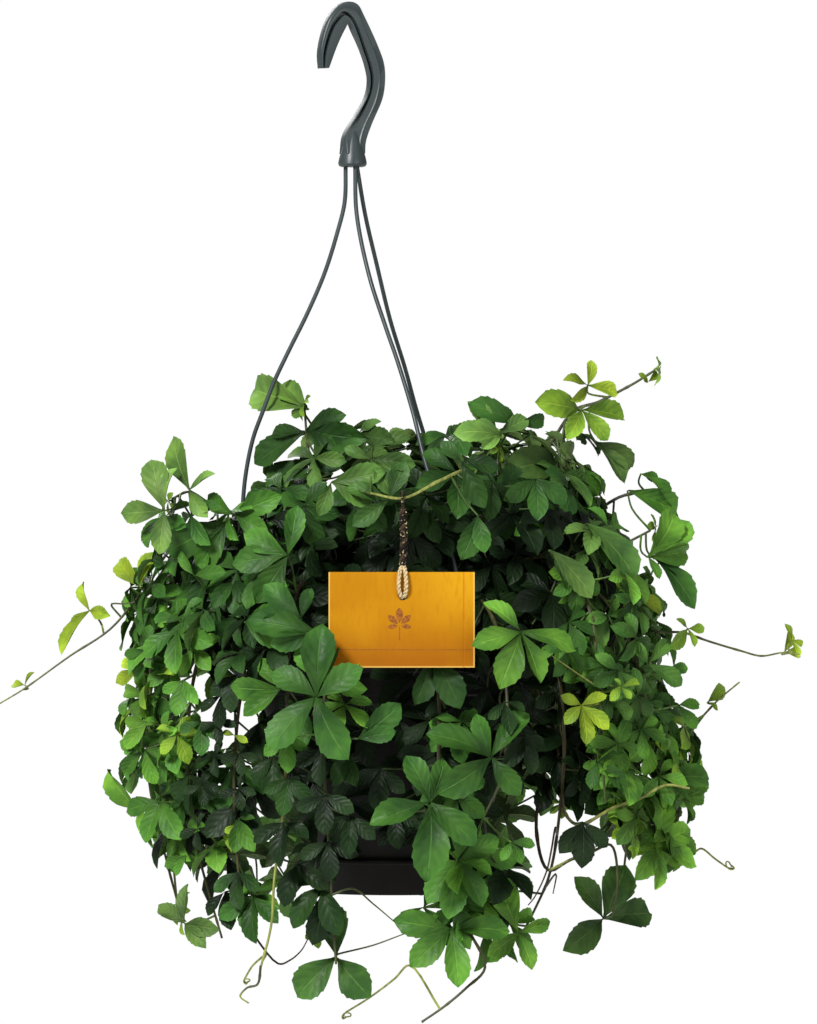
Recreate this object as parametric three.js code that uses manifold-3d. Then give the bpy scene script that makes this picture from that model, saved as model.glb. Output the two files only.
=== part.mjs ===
import * as THREE from "three";
import { mergeVertices } from "three/addons/utils/BufferGeometryUtils.js";
import Module from "manifold-3d";

// A miniature grape ivy in a hanging pot. Millimetres, +Z up, the front view looks along +Y.
// The origin is the seat of the hook, the point that rests on a rail.

const wasm = await Module();
wasm.setup();

// Driving dimensions
const GAP = 0.3; // between pieces that touch
const AXIS_X = 28; // the pot hangs this far to the side of the hook's seat
const RIM_Z = -386;
const POT_HEIGHT = 131;
const POT_RADIUS = 86;
const POT_FOOT_RADIUS = 44;
const POT_SIDES = 40;
const WALL = 1.6;
const POT_FLOOR_EDGE = RIM_Z - POT_HEIGHT + 3.5; // where the inside of the wall meets the floor
const FLANGE_WIDTH = 4;
const FLANGE_THICKNESS = 2.4;
const SOIL_Z = RIM_Z - 14;
const SAUCER_RADIUS = 52;
const SAUCER_FOOT_RADIUS = 47;
const SAUCER_HEIGHT = 21;
const LUG_RADIUS = 6.5; // round eye on the flange that takes a strand's end
const LUG_HOLE = 2.5;
const LUG_CENTRE = 93;
const STRAND_RADIUS = 1.5;
const BARB_RADIUS = 4;
const BARB_LENGTH = 7;
const HOOK_THICKNESS = 7;
const HOOK_TURN = THREE.MathUtils.degToRad(25); // the hook's tip comes forward
const COLLAR = { x: 2.7, y: 0.6, top: -74, bottom: -87, neck: 5, radius: 8.6 };
const CARD = { width: 85, height: 55.6, left: -10.2, top: -328.9, y: -151, stock: 0.6, fold: 1.2 };
const CARD_HOLE = { x: 33, below_top: 14, radius: 2.5 };
const TWINE_RADIUS = 1;
const STEM_RADIUS = 1.3;
const RUNNER_RADIUS = 0.8;
const PETIOLE_RADIUS = 0.8;
const LEAF_THICKNESS = 2; // at the heart of a leaf, from where it thins to its edge

// The foliage is a dome around the pot. Leaves that face the front are set out as they are seen
// from a point far in front, and lie on the dome.
const DOME = { x: 34, z: -400, radius: 178, height: 205, depth: 0.88 };
const EYE = new THREE.Vector3(36, -5000, -294);

// Small closed solids and how they join

function solidOf(geometry) {
  const bare = geometry.index ? geometry.toNonIndexed() : geometry.clone();
  bare.deleteAttribute("normal");
  bare.deleteAttribute("uv");
  const merged = mergeVertices(bare, 1e-4);
  return new wasm.Manifold(
    new wasm.Mesh({
      numProp: 3,
      vertProperties: merged.attributes.position.array,
      triVerts: new Uint32Array(merged.index.array),
    }),
  );
}

function geometryOf(solid) {
  const { numProp, vertProperties, triVerts } = solid.getMesh();
  const positions = new Float32Array((vertProperties.length / numProp) * 3);
  for (let i = 0; i < positions.length / 3; i++)
    positions.set(vertProperties.subarray(i * numProp, i * numProp + 3), i * 3);
  const geometry = new THREE.BufferGeometry();
  geometry.setAttribute("position", new THREE.BufferAttribute(positions, 3));
  geometry.setIndex(new THREE.BufferAttribute(triVerts, 1));
  geometry.computeVertexNormals();
  return geometry;
}

const join = (solids) => solids.reduce((all, solid) => all.add(solid));
const vector = ([x, y, z]) => new THREE.Vector3(x, y, z);

function ring(radius, sides) {
  const shape = new THREE.Shape();
  for (let i = 0; i < sides; i++) {
    const turn = (2 * Math.PI * i) / sides;
    const [x, y] = [radius * Math.cos(turn), radius * Math.sin(turn)];
    if (i) shape.lineTo(x, y);
    else shape.moveTo(x, y);
  }
  shape.closePath();
  return shape;
}

function tube(curve, radius, sides, steps) {
  const options = { steps, bevelEnabled: false, extrudePath: curve };
  return new THREE.ExtrudeGeometry(ring(radius, sides), options);
}

// A turned piece about the vertical line through x, y
function turned(profile, segments, x, y) {
  const points = profile.map(([r, z]) => new THREE.Vector2(r, z));
  const lathe = new THREE.LatheGeometry(points, segments);
  lathe.rotateX(Math.PI / 2);
  return lathe.translate(x, y, 0);
}

// Nodes of the finished object
const group = new THREE.Group();
const built = []; // what is in place already: { name, solid, box }

function boxOf(solid) {
  const { min, max } = solid.boundingBox();
  return new THREE.Box3(vector(min), vector(max));
}

function clears(solid, but = "") {
  const box = boxOf(solid);
  return built.every(
    (other) =>
      other.name === but ||
      !box.intersectsBox(other.box) ||
      other.solid.intersect(solid).isEmpty(),
  );
}

function show(name, solid, finish) {
  const mesh = new THREE.Mesh(geometryOf(solid), new THREE.MeshStandardMaterial(finish));
  mesh.name = name;
  group.add(mesh);
}

function place(name, solid, finish) {
  show(name, solid, finish);
  built.push({ name, solid, box: boxOf(solid) });
}

const PLASTIC = { color: 0x45504e, roughness: 0.5, metalness: 0 };
const POT_PLASTIC = { color: 0x17191a, roughness: 0.45, metalness: 0 };
const SOIL = { color: 0x2c2018, roughness: 1, metalness: 0 };
const CARD_STOCK = { color: 0xe0961e, roughness: 0.7, metalness: 0 };
const TWINE = { color: 0xcdb78a, roughness: 0.95, metalness: 0 };
const STEM = { color: 0x6b7a3a, roughness: 0.6, metalness: 0 };
const LEAF = { color: 0x3f7a2b, roughness: 0.5, metalness: 0 };

// Pot, with a flange at the rim and three lugs on the flange
const LUG_TURNS = [180, -60, 60].map(THREE.MathUtils.degToRad);
const lugAt = (turn) => [AXIS_X + LUG_CENTRE * Math.cos(turn), LUG_CENTRE * Math.sin(turn)];

function potSolid() {
  const foot = RIM_Z - POT_HEIGHT;
  const flange = POT_RADIUS + FLANGE_WIDTH;
  const under = RIM_Z - FLANGE_THICKNESS;
  const profile = [
    [0, foot],
    [POT_FOOT_RADIUS - 2, foot],
    [POT_FOOT_RADIUS, foot + 2],
    [POT_RADIUS, under],
    [flange, under],
    [flange, RIM_Z],
    [POT_RADIUS - WALL, RIM_Z],
    [insideRadius(POT_FLOOR_EDGE), POT_FLOOR_EDGE],
    [POT_FOOT_RADIUS - WALL - 2, foot + WALL],
    [0, foot + WALL],
  ];
  let pot = solidOf(turned(profile, POT_SIDES, AXIS_X, 0));
  for (const turn of LUG_TURNS) {
    const [x, y] = lugAt(turn);
    const lug = [[0, under], [LUG_RADIUS, under], [LUG_RADIUS, RIM_Z], [0, RIM_Z]];
    pot = pot.add(solidOf(turned(lug, 16, x, y)));
  }
  for (const turn of LUG_TURNS) {
    const [x, y] = lugAt(turn);
    const [low, high] = [under - 1, RIM_Z + 1];
    const hole = [[0, low], [LUG_HOLE, low], [LUG_HOLE, high], [0, high]];
    pot = pot.subtract(solidOf(turned(hole, 12, x, y)));
  }
  return pot;
}

// The pot's inner radius at a height above its rounded foot
function insideRadius(z) {
  const share = (z - POT_FLOOR_EDGE) / (RIM_Z - POT_FLOOR_EDGE);
  return POT_FOOT_RADIUS + share * (POT_RADIUS - POT_FOOT_RADIUS) - WALL;
}

function soilSolid() {
  const foot = RIM_Z - POT_HEIGHT + WALL + GAP;
  const profile = [
    [0, foot],
    [POT_FOOT_RADIUS - 2 * WALL - 2, foot],
    [insideRadius(POT_FLOOR_EDGE + 3) - 2 * GAP, POT_FLOOR_EDGE + 3],
    [insideRadius(SOIL_Z) - 2 * GAP, SOIL_Z],
    [0, SOIL_Z],
  ];
  return solidOf(turned(profile, POT_SIDES, AXIS_X, 0));
}

// Drip saucer, whose floor lies under the pot's foot
function saucerSolid() {
  const floor = RIM_Z - POT_HEIGHT - GAP;
  const foot = floor - WALL - 3;
  const rim = foot + SAUCER_HEIGHT;
  const profile = [
    [0, foot],
    [SAUCER_FOOT_RADIUS, foot],
    [SAUCER_RADIUS, rim],
    [SAUCER_RADIUS - WALL, rim],
    [SAUCER_FOOT_RADIUS - WALL + 1, floor],
    [0, floor],
  ];
  return solidOf(turned(profile, POT_SIDES, AXIS_X, 0));
}

// Hook: a flat outline of real thickness, ending in a flared collar
const HOOK_OUTER = [
  [-18.9, -28.2], [-19.5, -18], [-14.5, 0], [-6.5, 10.2], [0, 12.2], [5.5, 10.6], [9, 5],
  [18.9, -14.4], [22.8, -24.6], [23.5, -34.8], [21.8, -45.6], [14.2, -61], [9, -72], [7.2, -79],
];
const HOOK_INNER = [
  [-1.4, -79], [-1, -68], [6.3, -55.8], [13.6, -43.8], [15.3, -34.8], [13.6, -27], [9.6, -17],
  [4, -5.5], [0, 0], [-3.6, -5], [-8.8, -14], [-14.2, -28],
];

function hookSolid() {
  const shape = new THREE.Shape();
  shape.moveTo(...HOOK_OUTER[0]);
  shape.splineThru(HOOK_OUTER.slice(1).map((p) => new THREE.Vector2(...p)));
  shape.lineTo(...HOOK_INNER[0]);
  shape.splineThru(HOOK_INNER.slice(1).map((p) => new THREE.Vector2(...p)));
  shape.quadraticCurveTo(-16.5, -31, ...HOOK_OUTER[0]);
  const blade = new THREE.ExtrudeGeometry(shape, {
    depth: HOOK_THICKNESS,
    curveSegments: 2,
    bevelEnabled: false,
  });
  blade.translate(0, 0, -HOOK_THICKNESS / 2);
  blade.rotateX(Math.PI / 2);
  blade.rotateZ(HOOK_TURN);
  const profile = [
    [0, COLLAR.top],
    [COLLAR.neck, COLLAR.top],
    [COLLAR.radius, COLLAR.bottom + 3],
    [COLLAR.radius - 0.8, COLLAR.bottom],
    [0, COLLAR.bottom],
  ];
  return solidOf(blade).add(solidOf(turned(profile.reverse(), 20, COLLAR.x, COLLAR.y)));
}

// Strands, from under the collar through a lug's hole to a barb that holds below the flange
const STRANDS = {
  hanger_strand_left: [
    [-1.4, 0.6, -87.3], [-2, 0.4, -108], [-6.6, 0, -127], [-13.8, 0, -150], [-24, 0, -174],
    [-35.4, 0, -197], [-44.4, 0, -216], [-51.6, 0, -235], [-57, 0, -250], [-61.6, 0, -273],
    [-63.4, 0, -295], [-64.6, 0, -330], [-65, 0, -365],
  ],
  hanger_strand_front: [
    [4.3, -3, -87.3], [5.2, -5.5, -115], [12.6, -15, -152], [22.8, -30, -184], [30, -40, -205],
    [39, -54, -235], [45.6, -64, -262], [57, -73, -300], [67.5, -78.5, -342], [74.5, -80.5, -370],
  ],
  hanger_strand_back: [
    [5.3, 4, -87.3], [10.2, 6, -115], [17.4, 14, -146], [25.2, 27, -178], [34.2, 42, -207],
    [40.8, 53, -231], [48.6, 64, -257], [59, 73, -300], [68, 78.5, -342], [74.5, 80.5, -370],
  ],
};

function strandSolid(route, turn) {
  const [x, y] = lugAt(turn);
  const under = RIM_Z - FLANGE_THICKNESS - GAP;
  const points = route.map(vector);
  points.push(new THREE.Vector3(x, y, RIM_Z), new THREE.Vector3(x, y, under - 2));
  const strand = solidOf(tube(new THREE.CatmullRomCurve3(points), STRAND_RADIUS, 7, 20));
  const barb = [[0, under - BARB_LENGTH], [1, under - BARB_LENGTH], [BARB_RADIUS, under], [0, under]];
  return strand.add(solidOf(turned(barb, 10, x, y)));
}

// Tag: one strip of card folded over at the top, with a hole through both leaves
function cardSolid() {
  const { width, height, stock, fold } = CARD;
  const shape = new THREE.Shape();
  shape.moveTo(-fold, -height);
  shape.lineTo(-fold, -fold);
  shape.absarc(0, -fold, fold, Math.PI, 0, true);
  shape.lineTo(fold + 1, -height + 1);
  shape.lineTo(fold + 1 - stock, -height + 1);
  shape.lineTo(fold - stock, -fold);
  shape.absarc(0, -fold, fold - stock, 0, Math.PI, false);
  shape.lineTo(-fold + stock, -height);
  shape.closePath();
  const strip = new THREE.ExtrudeGeometry(shape, {
    depth: width,
    bevelEnabled: false,
    curveSegments: 6,
  });
  // The shape's x runs along Y, its y up, and its depth along X
  const turn = new THREE.Matrix4().makeBasis(
    new THREE.Vector3(0, 1, 0),
    new THREE.Vector3(0, 0, 1),
    new THREE.Vector3(1, 0, 0),
  );
  strip.applyMatrix4(turn).translate(CARD.left, CARD.y, CARD.top);
  const hole = new THREE.CylinderGeometry(CARD_HOLE.radius, CARD_HOLE.radius, 12, 12);
  hole.translate(CARD_HOLE.x, CARD.y, CARD.top - CARD_HOLE.below_top);
  return solidOf(strip).subtract(solidOf(hole));
}

// Twine: one loop through the card, one round the stem above it, with a twisted run between them
function twineSolid() {
  const hole = CARD.top - CARD_HOLE.below_top;
  const [low, high] = [CARD.top + 6, TWINE_STEM.z - 7];
  const leg = CARD.fold + TWINE_RADIUS + GAP + 0.6;
  const at = (y, z) => new THREE.Vector3(CARD_HOLE.x, y, z);
  const round = CARD.y;
  const loop = [
    at(round, low), at(round - leg, low - 4), at(round - leg, hole + 4), at(round - 2, hole),
    at(round + 2, hole), at(round + leg + 0.6, hole + 4), at(round + leg, low - 4), at(round, low),
  ];
  const reach = STEM_RADIUS + TWINE_RADIUS + 3 * GAP;
  const eye = [
    at(round, high), at(TWINE_STEM.y - reach, TWINE_STEM.z - 1.5),
    at(TWINE_STEM.y - reach * 0.6, TWINE_STEM.z + reach * 0.8),
    at(TWINE_STEM.y + reach * 0.6, TWINE_STEM.z + reach * 0.8),
    at(TWINE_STEM.y + reach, TWINE_STEM.z - 1.5), at(round, high),
  ];
  const run = new THREE.LineCurve3(at(round, low - 1), at(round, high + 1));
  const thin = (points) => tube(new THREE.CatmullRomCurve3(points), TWINE_RADIUS, 5, 14);
  const twisted = tube(run, TWINE_RADIUS * 1.5, 6, 2);
  const knot = (z) => new THREE.SphereGeometry(TWINE_RADIUS * 2, 7, 5).translate(CARD_HOLE.x, round, z);
  return join([thin(loop), thin(eye), twisted, knot(low), knot(high)].map(solidOf));
}

// Stems. Each grows from the soil, and its route is read from the photo where it shows.
const S = SOIL_Z + GAP;
const TWINE_STEM = new THREE.Vector3(33, -152, -286);
const VINES = {
  vine_front_left: {
    route: [
      [0, -25, S], [-14, -60, -345], [-28, -105, -338], [-34, -130, -380], [-35, -134, -430],
      [-37, -134, -470], [-42, -133, -508], [-44, -132, -536], [-50, -131, -560],
    ],
    tendril: [[-50, -131, -559], [-52, -131, -570], [-58, -131, -572], [-62, -131, -577], [-57, -131, -581]],
  },
  vine_front_centre_left: {
    route: [
      [12, -35, S], [2, -72, -350], [-6, -116, -350], [-12, -143, -390], [-13, -146, -440],
      [-10, -142, -490], [-8, -138, -530], [-6, -135, -558],
    ],
  },
  vine_front_centre: {
    route: [
      [42, -35, S], [46, -75, -352], [50, -116, -358], [54, -130, -400], [54, -136, -450],
      [58, -138, -500], [70, -136, -535], [81, -134, -560], [70, -133, -572], [57, -132, -583],
      [44, -131, -592],
    ],
  },
  vine_front_centre_right: {
    route: [
      [62, -30, S], [74, -66, -345], [88, -108, -362], [94, -130, -410], [90, -137, -450],
      [80, -139, -472],
    ],
  },
  vine_front_right: {
    route: [
      [70, -22, S], [94, -50, -330], [124, -84, -322], [143, -104, -352], [147, -110, -388],
      [149, -110, -425], [152, -106, -465],
    ],
  },
  vine_low_right: {
    route: [
      [80, -18, S], [108, -48, -350], [124, -78, -385], [128, -96, -430], [128, -100, -470],
      [136, -98, -478], [157, -95, -468], [172, -92, -463], [188, -88, -455], [202, -84, -457],
    ],
  },
  vine_dark_leaf: {
    route: [
      [74, 16, S], [102, -8, -348], [122, -34, -385], [118, -52, -440], [112, -60, -481],
      [119, -64, -506], [132, -66, -500], [145, -68, -495], [156, -70, -491], [160, -71, -512],
      [157, -71, -533],
    ],
  },
  vine_bottom_right: {
    route: [
      [60, 4, S], [92, -24, -362], [110, -56, -392], [126, -74, -440], [124, -77, -485],
      [119, -78, -510], [111, -84, -528], [103, -92, -543],
    ],
  },
  vine_top_right: {
    route: [
      [58, 22, S], [78, 26, -330], [98, 22, -288], [120, 15, -256], [136, 10, -233],
      [150, 8, -228], [162, 6, -222], [173, 5, -216], [184, 4, -209],
    ],
  },
  vine_right_arch: {
    route: [
      [72, 12, S], [98, 25, -336], [124, 22, -306], [148, 18, -294], [166, 14, -284],
      [185, 10, -283], [196, 6, -293], [201, 3, -312],
    ],
  },
  vine_right_short: {
    route: [[84, 6, S], [112, -6, -348], [138, -10, -328], [164, -14, -314], [181, -16, -305]],
  },
  runner_right: {
    route: [[88, -6, S], [108, -8, -352], [136, -20, -340], [165, -30, -352], [186, -28, -366]],
    tendril: [
      [185, -28, -366], [200, -26, -366], [215, -25, -371], [235, -24, -377], [247, -23, -380],
      [260, -22, -378], [270, -21, -379],
    ],
  },
  vine_right_side: {
    route: [
      [86, 26, S], [116, 32, -348], [156, 26, -350], [184, 16, -385], [196, 8, -425],
      [200, 4, -460], [196, 0, -490],
    ],
    tendril: [[196, 8, -426], [209, 4, -420], [222, 2, -407], [235, 0, -396]],
  },
  runner_left: {
    route: [[-20, 2, S], [-36, -10, -352], [-62, -18, -332], [-95, -20, -327], [-124, -20, -343]],
    tendril: [
      [-123, -20, -342], [-142, -19, -364], [-166, -18, -380], [-194, -17, -400], [-209, -16, -409],
    ],
  },
  vine_upper_left: {
    route: [
      [-14, -22, S], [-30, -42, -340], [-44, -54, -302], [-62, -56, -296], [-80, -52, -290],
      [-94, -48, -282], [-104, -45, -286],
    ],
  },
  vine_left_side: {
    route: [
      [-26, 18, S], [-56, 24, -350], [-92, 18, -338], [-114, 10, -365], [-120, 4, -410],
      [-120, 0, -450], [-112, -3, -490], [-100, -6, -536],
    ],
  },
  vine_left: {
    route: [
      [-22, -30, S], [-48, -56, -352], [-74, -76, -346], [-90, -82, -390], [-94, -80, -440],
      [-90, -78, -485], [-80, -75, -525], [-74, -72, -546],
    ],
  },
  vine_centre_left: {
    route: [
      [-8, -42, S], [-32, -78, -352], [-52, -103, -352], [-62, -111, -400], [-66, -112, -450],
      [-64, -110, -500], [-58, -106, -538],
    ],
  },
  vine_top_left: {
    route: [[4, 12, S], [-6, 6, -340], [-18, 0, -290], [-24, -3, -255], [-26, -5, -232]],
  },
  vine_top: {
    route: [[24, 22, S], [18, 26, -330], [10, 24, -285], [6, 20, -258], [14, 16, -247]],
  },
  vine_tag: {
    route: [
      [46, -12, S], [62, -38, -345], [80, -80, -296], [72, -122, -270], [54, -146, -276],
      [TWINE_STEM.x, TWINE_STEM.y, TWINE_STEM.z], [14, -151, -283],
    ],
  },
  vine_top_back_right: {
    route: [[50, 40, S], [66, 56, -335], [82, 66, -285], [92, 66, -248]],
  },
  vine_crest: {
    route: [[66, -10, S], [80, -18, -345], [92, -24, -295], [90, -36, -256]],
  },
  vine_right: {
    route: [
      [84, -34, S], [110, -60, -338], [148, -68, -342], [172, -68, -385], [178, -66, -425],
      [177, -62, -465], [182, -58, -494],
    ],
  },
};

// Stems at the back, set round the pot: turn about the axis, crest height, reach, lowest point
const BACK_VINES = [
  [28, -330, 165, -520],
  [48, -300, 160, -470],
  [68, -325, 165, -545],
  [88, -290, 155, -500],
  [108, -325, 165, -550],
  [128, -300, 160, -480],
  [148, -330, 165, -530],
];
BACK_VINES.forEach(([turn, crest, reach, low], i) => {
  const angle = THREE.MathUtils.degToRad(turn);
  const at = (radius, z) => [AXIS_X + radius * Math.cos(angle), radius * Math.sin(angle), z];
  const start = 44 + 9 * (i % 2);
  VINES["vine_back_" + (i + 1)] = {
    route: [
      at(start, S), at(82, (RIM_Z + crest) / 2 + 12), at(120, crest), at(reach - 8, crest - 45),
      at(reach, (crest + low) / 2 - 20), at(reach - 8, low),
    ],
  };
});

// A stem leaves the soil straight up
for (const vine of Object.values(VINES)) {
  const [x, y, z] = vine.route[0];
  vine.route.splice(1, 0, [x, y, z + 8]);
}

const routeCurve = (route) => new THREE.CatmullRomCurve3(route.map(vector), false, "centripetal");

const stepsOf = (route) => route.length + 4;

function stemSolid({ route, tendril }) {
  const stem = solidOf(tube(routeCurve(route), STEM_RADIUS, 4, stepsOf(route)));
  if (!tendril) return stem;
  return stem.add(solidOf(tube(routeCurve(tendril), RUNNER_RADIUS, 3, stepsOf(tendril))));
}

// Leaves. A leaf has a heart, where its leaflets and its stalk meet, and the tips of its leaflets.

// The point of the dome that is seen at x, z, brought nearer by a distance
function onDome(x, z, nearer = 0) {
  const up = (z - DOME.z) / DOME.height;
  const radius = DOME.radius * Math.max(0.15, 1 - up * up) ** 0.25;
  const side = (x - DOME.x) / radius;
  const y = -DOME.depth * radius * Math.sqrt(Math.max(0, 1 - side * side)) - nearer;
  const seen = new THREE.Vector3(x, 0, z);
  return seen.sub(EYE).multiplyScalar((y - EYE.y) / -EYE.y).add(EYE);
}

// The way a leaf faces at a point: away from the pot's axis, up, and a little to the front
function facing(point) {
  const away = new THREE.Vector3(point.x - AXIS_X, point.y, 0).normalize();
  away.y = Math.min(away.y, 0) - 0.9;
  away.z = 0.45;
  return away.normalize();
}

// Leaves that stand out: heart and tips as x, z seen from the front, and how much nearer it lies
const SEEN_LEAVES = {
  leaf_right_of_tag: [[104, -366], [[82, -349], [75, -374], [91, -399], [115, -396], [136, -377]], 10],
  leaf_young_right: [[140, -410], [[128, -404], [130, -421], [143, -433], [156, -424], [155, -404]], 6],
  leaf_below_right: [[86, -441], [[54, -462], [48, -428], [77, -416], [108, -416], [103, -463]], 6],
  leaf_low_centre: [[49, -468], [[76, -493], [47, -514], [14, -481], [35, -441], [57, -443]], 12],
  leaf_left_of_tag: [[-19, -405], [[0, -441], [-46, -436], [-45, -391], [-16, -363], [8, -388]], 22],
  leaf_behind_tag: [[50, -380], [[30, -372], [40, -409], [67, -411], [74, -376]], -16],
  leaf_trailing_centre: [[62, -544], [[96, -546], [73, -556], [66, -578], [38, -566], [28, -539]], 8],
  leaf_trailing_right: [[102, -546], [[88, -512], [121, -540], [110, -568], [84, -560]], 0],
  leaf_dark_right: [[154, -540], [[143, -516], [167, -508], [181, -534], [134, -562]], -20],
  leaf_low_right: [[184, -495], [[188, -466], [206, -485], [209, -507], [184, -520], [172, -514]], 0],
  leaf_trailing_left: [[-7, -561], [[-30, -584], [13, -584], [-12, -530]], 4],
  leaf_low_left: [[-98, -541], [[-96, -518], [-114, -531], [-85, -555], [-77, -544]], 0],
  leaf_upper_left: [[-110, -293], [[-118, -263], [-136, -295], [-113, -319], [-103, -268]], 20],
  leaf_top_left: [[-95, -281], [[-105, -249], [-80, -271], [-84, -297]], 0],
  leaf_top_right: [[144, -218], [[146, -203], [162, -223], [133, -227], [129, -215]], 0],
};

// Leaves that stay joined to their stem, in the same terms, by the name of the stem
const JOINED_LEAVES = [
  ["vine_left_side", [-100, -490], [[-116, -502], [-104, -510], [-88, -505]]],
  ["vine_left_side", [-112, -468], [[-121, -492], [-133, -474], [-100, -490]]],
  ["vine_left_side", [-130, -470], [[-144, -449], [-128, -446]]],
  ["runner_left", [-125, -339], [[-115, -318], [-138, -323]]],
  ["runner_left", [-155, -353], [[-159, -336], [-142, -356], [-166, -364], [-172, -380]]],
  ["vine_top_left", [-28, -238], [[-57, -222], [-40, -217], [-22, -222]]],
  ["vine_top_left", [-25, -244], [[-1, -238], [-57, -264]]],
  ["vine_top", [6, -247], [[28, -252], [-16, -251], [20, -240]]],
  ["vine_crest", [90, -247], [[72, -228], [108, -238], [76, -250]]],
  ["vine_top_right", [137, -232], [[112, -229], [135, -254], [157, -251], [166, -239]]],
  ["vine_top_right", [146, -252], [[171, -268], [126, -262]]],
  ["vine_right_short", [184, -303], [[177, -291], [203, -326], [178, -322]]],
  ["vine_right_short", [183, -322], [[199, -334], [208, -353]]],
  ["runner_right", [170, -345], [[188, -354], [176, -336], [160, -332]]],
  ["runner_right", [262, -378], [[266, -366], [272, -379]]],
  ["vine_tag", [24, -287], [[3, -302], [0, -280], [34, -264]]],
  ["vine_tag", [68, -264], [[82, -291], [56, -252], [90, -268]]],
  ["vine_low_right", [188, -455], [[217, -455], [196, -437], [204, -467]]],
  ["vine_centre_left", [-38, -320], [[-62, -309], [-72, -327], [-56, -346]]],
  ["vine_upper_left", [-72, -300], [[-108, -318], [-90, -328]]],
  ["vine_front_left", [-44, -440], [[-42, -468], [-56, -458]]],
  ["vine_centre_left", [-66, -478], [[-68, -498], [-56, -497], [-56, -478]]],
  ["vine_right_arch", [146, -298], [[163, -310], [150, -318], [130, -300]]],
  ["vine_right", [180, -385], [[200, -398], [192, -372], [170, -372]]],
];

const SHOULDER = { along: 0.64, half: THREE.MathUtils.degToRad(22) };
const VALLEY = 0.16;
const WHOLE_TURN = 2 * Math.PI;
const STALK_TURNS = [0, 1, 2].map((side) => (side * WHOLE_TURN) / 3);

// The outline of a blade round its heart, counterclockwise as seen from its upper side
function bladeRim(heart, normal, across, up, tips) {
  const lobes = tips.map((tip) => {
    const out = tip.clone().sub(heart);
    return { turn: Math.atan2(out.dot(up), out.dot(across)), length: out.length() };
  });
  lobes.sort((a, b) => a.turn - b.turn);
  const shortest = Math.min(...lobes.map((lobe) => lobe.length));
  const rim = [];
  const add = (turn, length, back = 0) => {
    const point = heart.clone().addScaledVector(normal, -back);
    point.addScaledVector(across, length * Math.cos(turn));
    rim.push({ turn, point: point.addScaledVector(up, length * Math.sin(turn)) });
  };
  lobes.forEach((lobe, i) => {
    const next = lobes[(i + 1) % lobes.length];
    const before = lobes[(i + lobes.length - 1) % lobes.length];
    const after = (next.turn - lobe.turn + WHOLE_TURN) % WHOLE_TURN || WHOLE_TURN;
    const ahead = (lobe.turn - before.turn + WHOLE_TURN) % WHOLE_TURN || WHOLE_TURN;
    add(lobe.turn - Math.min(SHOULDER.half, 0.42 * ahead), SHOULDER.along * lobe.length, 1);
    add(lobe.turn, lobe.length, 0.1 * lobe.length);
    add(lobe.turn + Math.min(SHOULDER.half, 0.42 * after), SHOULDER.along * lobe.length, 1);
    const valleys = after > 2 ? Math.ceil(after / 1.6) : 1;
    for (let k = 1; k <= valleys; k++)
      add(lobe.turn + (after * k) / (valleys + 1), VALLEY * shortest);
  });
  return rim;
}

// Sections of the stalk, from behind the heart to its foot
function stalkSections(heart, normal, across, up, foot) {
  const neck = heart.clone().addScaledVector(normal, -LEAF_THICKNESS / 2);
  const bend = foot.clone().lerp(heart, 0.55).addScaledVector(normal, -3);
  const inward = normal.clone().negate();
  return [neck, bend, foot].map((centre, i) => {
    const run = i ? foot.clone().sub(neck).normalize() : inward;
    const turn = new THREE.Quaternion().setFromUnitVectors(inward, run);
    return STALK_TURNS.map((angle) => {
      const out = across.clone().multiplyScalar(Math.cos(angle));
      out.addScaledVector(up, Math.sin(angle)).applyQuaternion(turn);
      return centre.clone().addScaledVector(out, PETIOLE_RADIUS);
    });
  });
}

// A leaf is one thin solid, star-shaped round its heart, with its stalk behind
function leafSolid({ heart, normal, tips }, foot) {
  const across = new THREE.Vector3(0, 0, 1).cross(normal).normalize();
  const up = normal.clone().cross(across);
  const rim = bladeRim(heart, normal, across, up, tips);
  const sections = stalkSections(heart, normal, across, up, foot);
  const points = rim.map(({ point }) => point);
  const front = points.push(heart.clone().addScaledVector(normal, LEAF_THICKNESS / 2)) - 1;
  const stalk = front + 1;
  points.push(...sections.flat());
  const sides = STALK_TURNS.length;
  const sector = (turn) => (Math.round((turn * sides) / WHOLE_TURN) + sides) % sides;
  const faces = [];
  rim.forEach(({ turn }, i) => {
    const j = (i + 1) % rim.length;
    const [a, b] = [stalk + sector(turn), stalk + sector(rim[j].turn)];
    faces.push(i, j, front, j, i, a);
    if (a !== b) faces.push(j, a, b);
  });
  for (let section = 0; section < sections.length - 1; section++)
    for (let side = 0; side < sides; side++) {
      const a = stalk + section * sides + side;
      const b = stalk + section * sides + ((side + 1) % sides);
      faces.push(a, a + sides, b, b, a + sides, b + sides);
    }
  const last = stalk + (sections.length - 1) * sides;
  faces.push(last, last + 2, last + 1);
  const geometry = new THREE.BufferGeometry().setFromPoints(points);
  geometry.setIndex(faces);
  return solidOf(geometry);
}

// The nearest point to a leaf on the broken line along which a stem is drawn
function nearestOn(line, point) {
  let best = null;
  for (let i = Math.min(3, line.length - 2); i < line.length - 1; i++) {
    const foot = new THREE.Line3(line[i], line[i + 1]).closestPointToPoint(point, true, new THREE.Vector3());
    if (!best || foot.distanceTo(point) < best.distanceTo(point)) best = foot;
  }
  return best;
}

function seenLeaf([[x, z], tips, nearer = 0]) {
  const heart = onDome(x, z, nearer);
  const normal = facing(heart);
  const spread = tips.map(([tipX, tipZ]) => {
    const [dx, dz] = [tipX - x, tipZ - z];
    const dy = -(normal.x * dx + normal.z * dz) / normal.y;
    return heart.clone().add(new THREE.Vector3(dx, dy, dz));
  });
  return { heart, normal, tips: spread };
}

// Stem pieces of each vine, to which its joined leaves are added
const vines = new Map();

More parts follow.
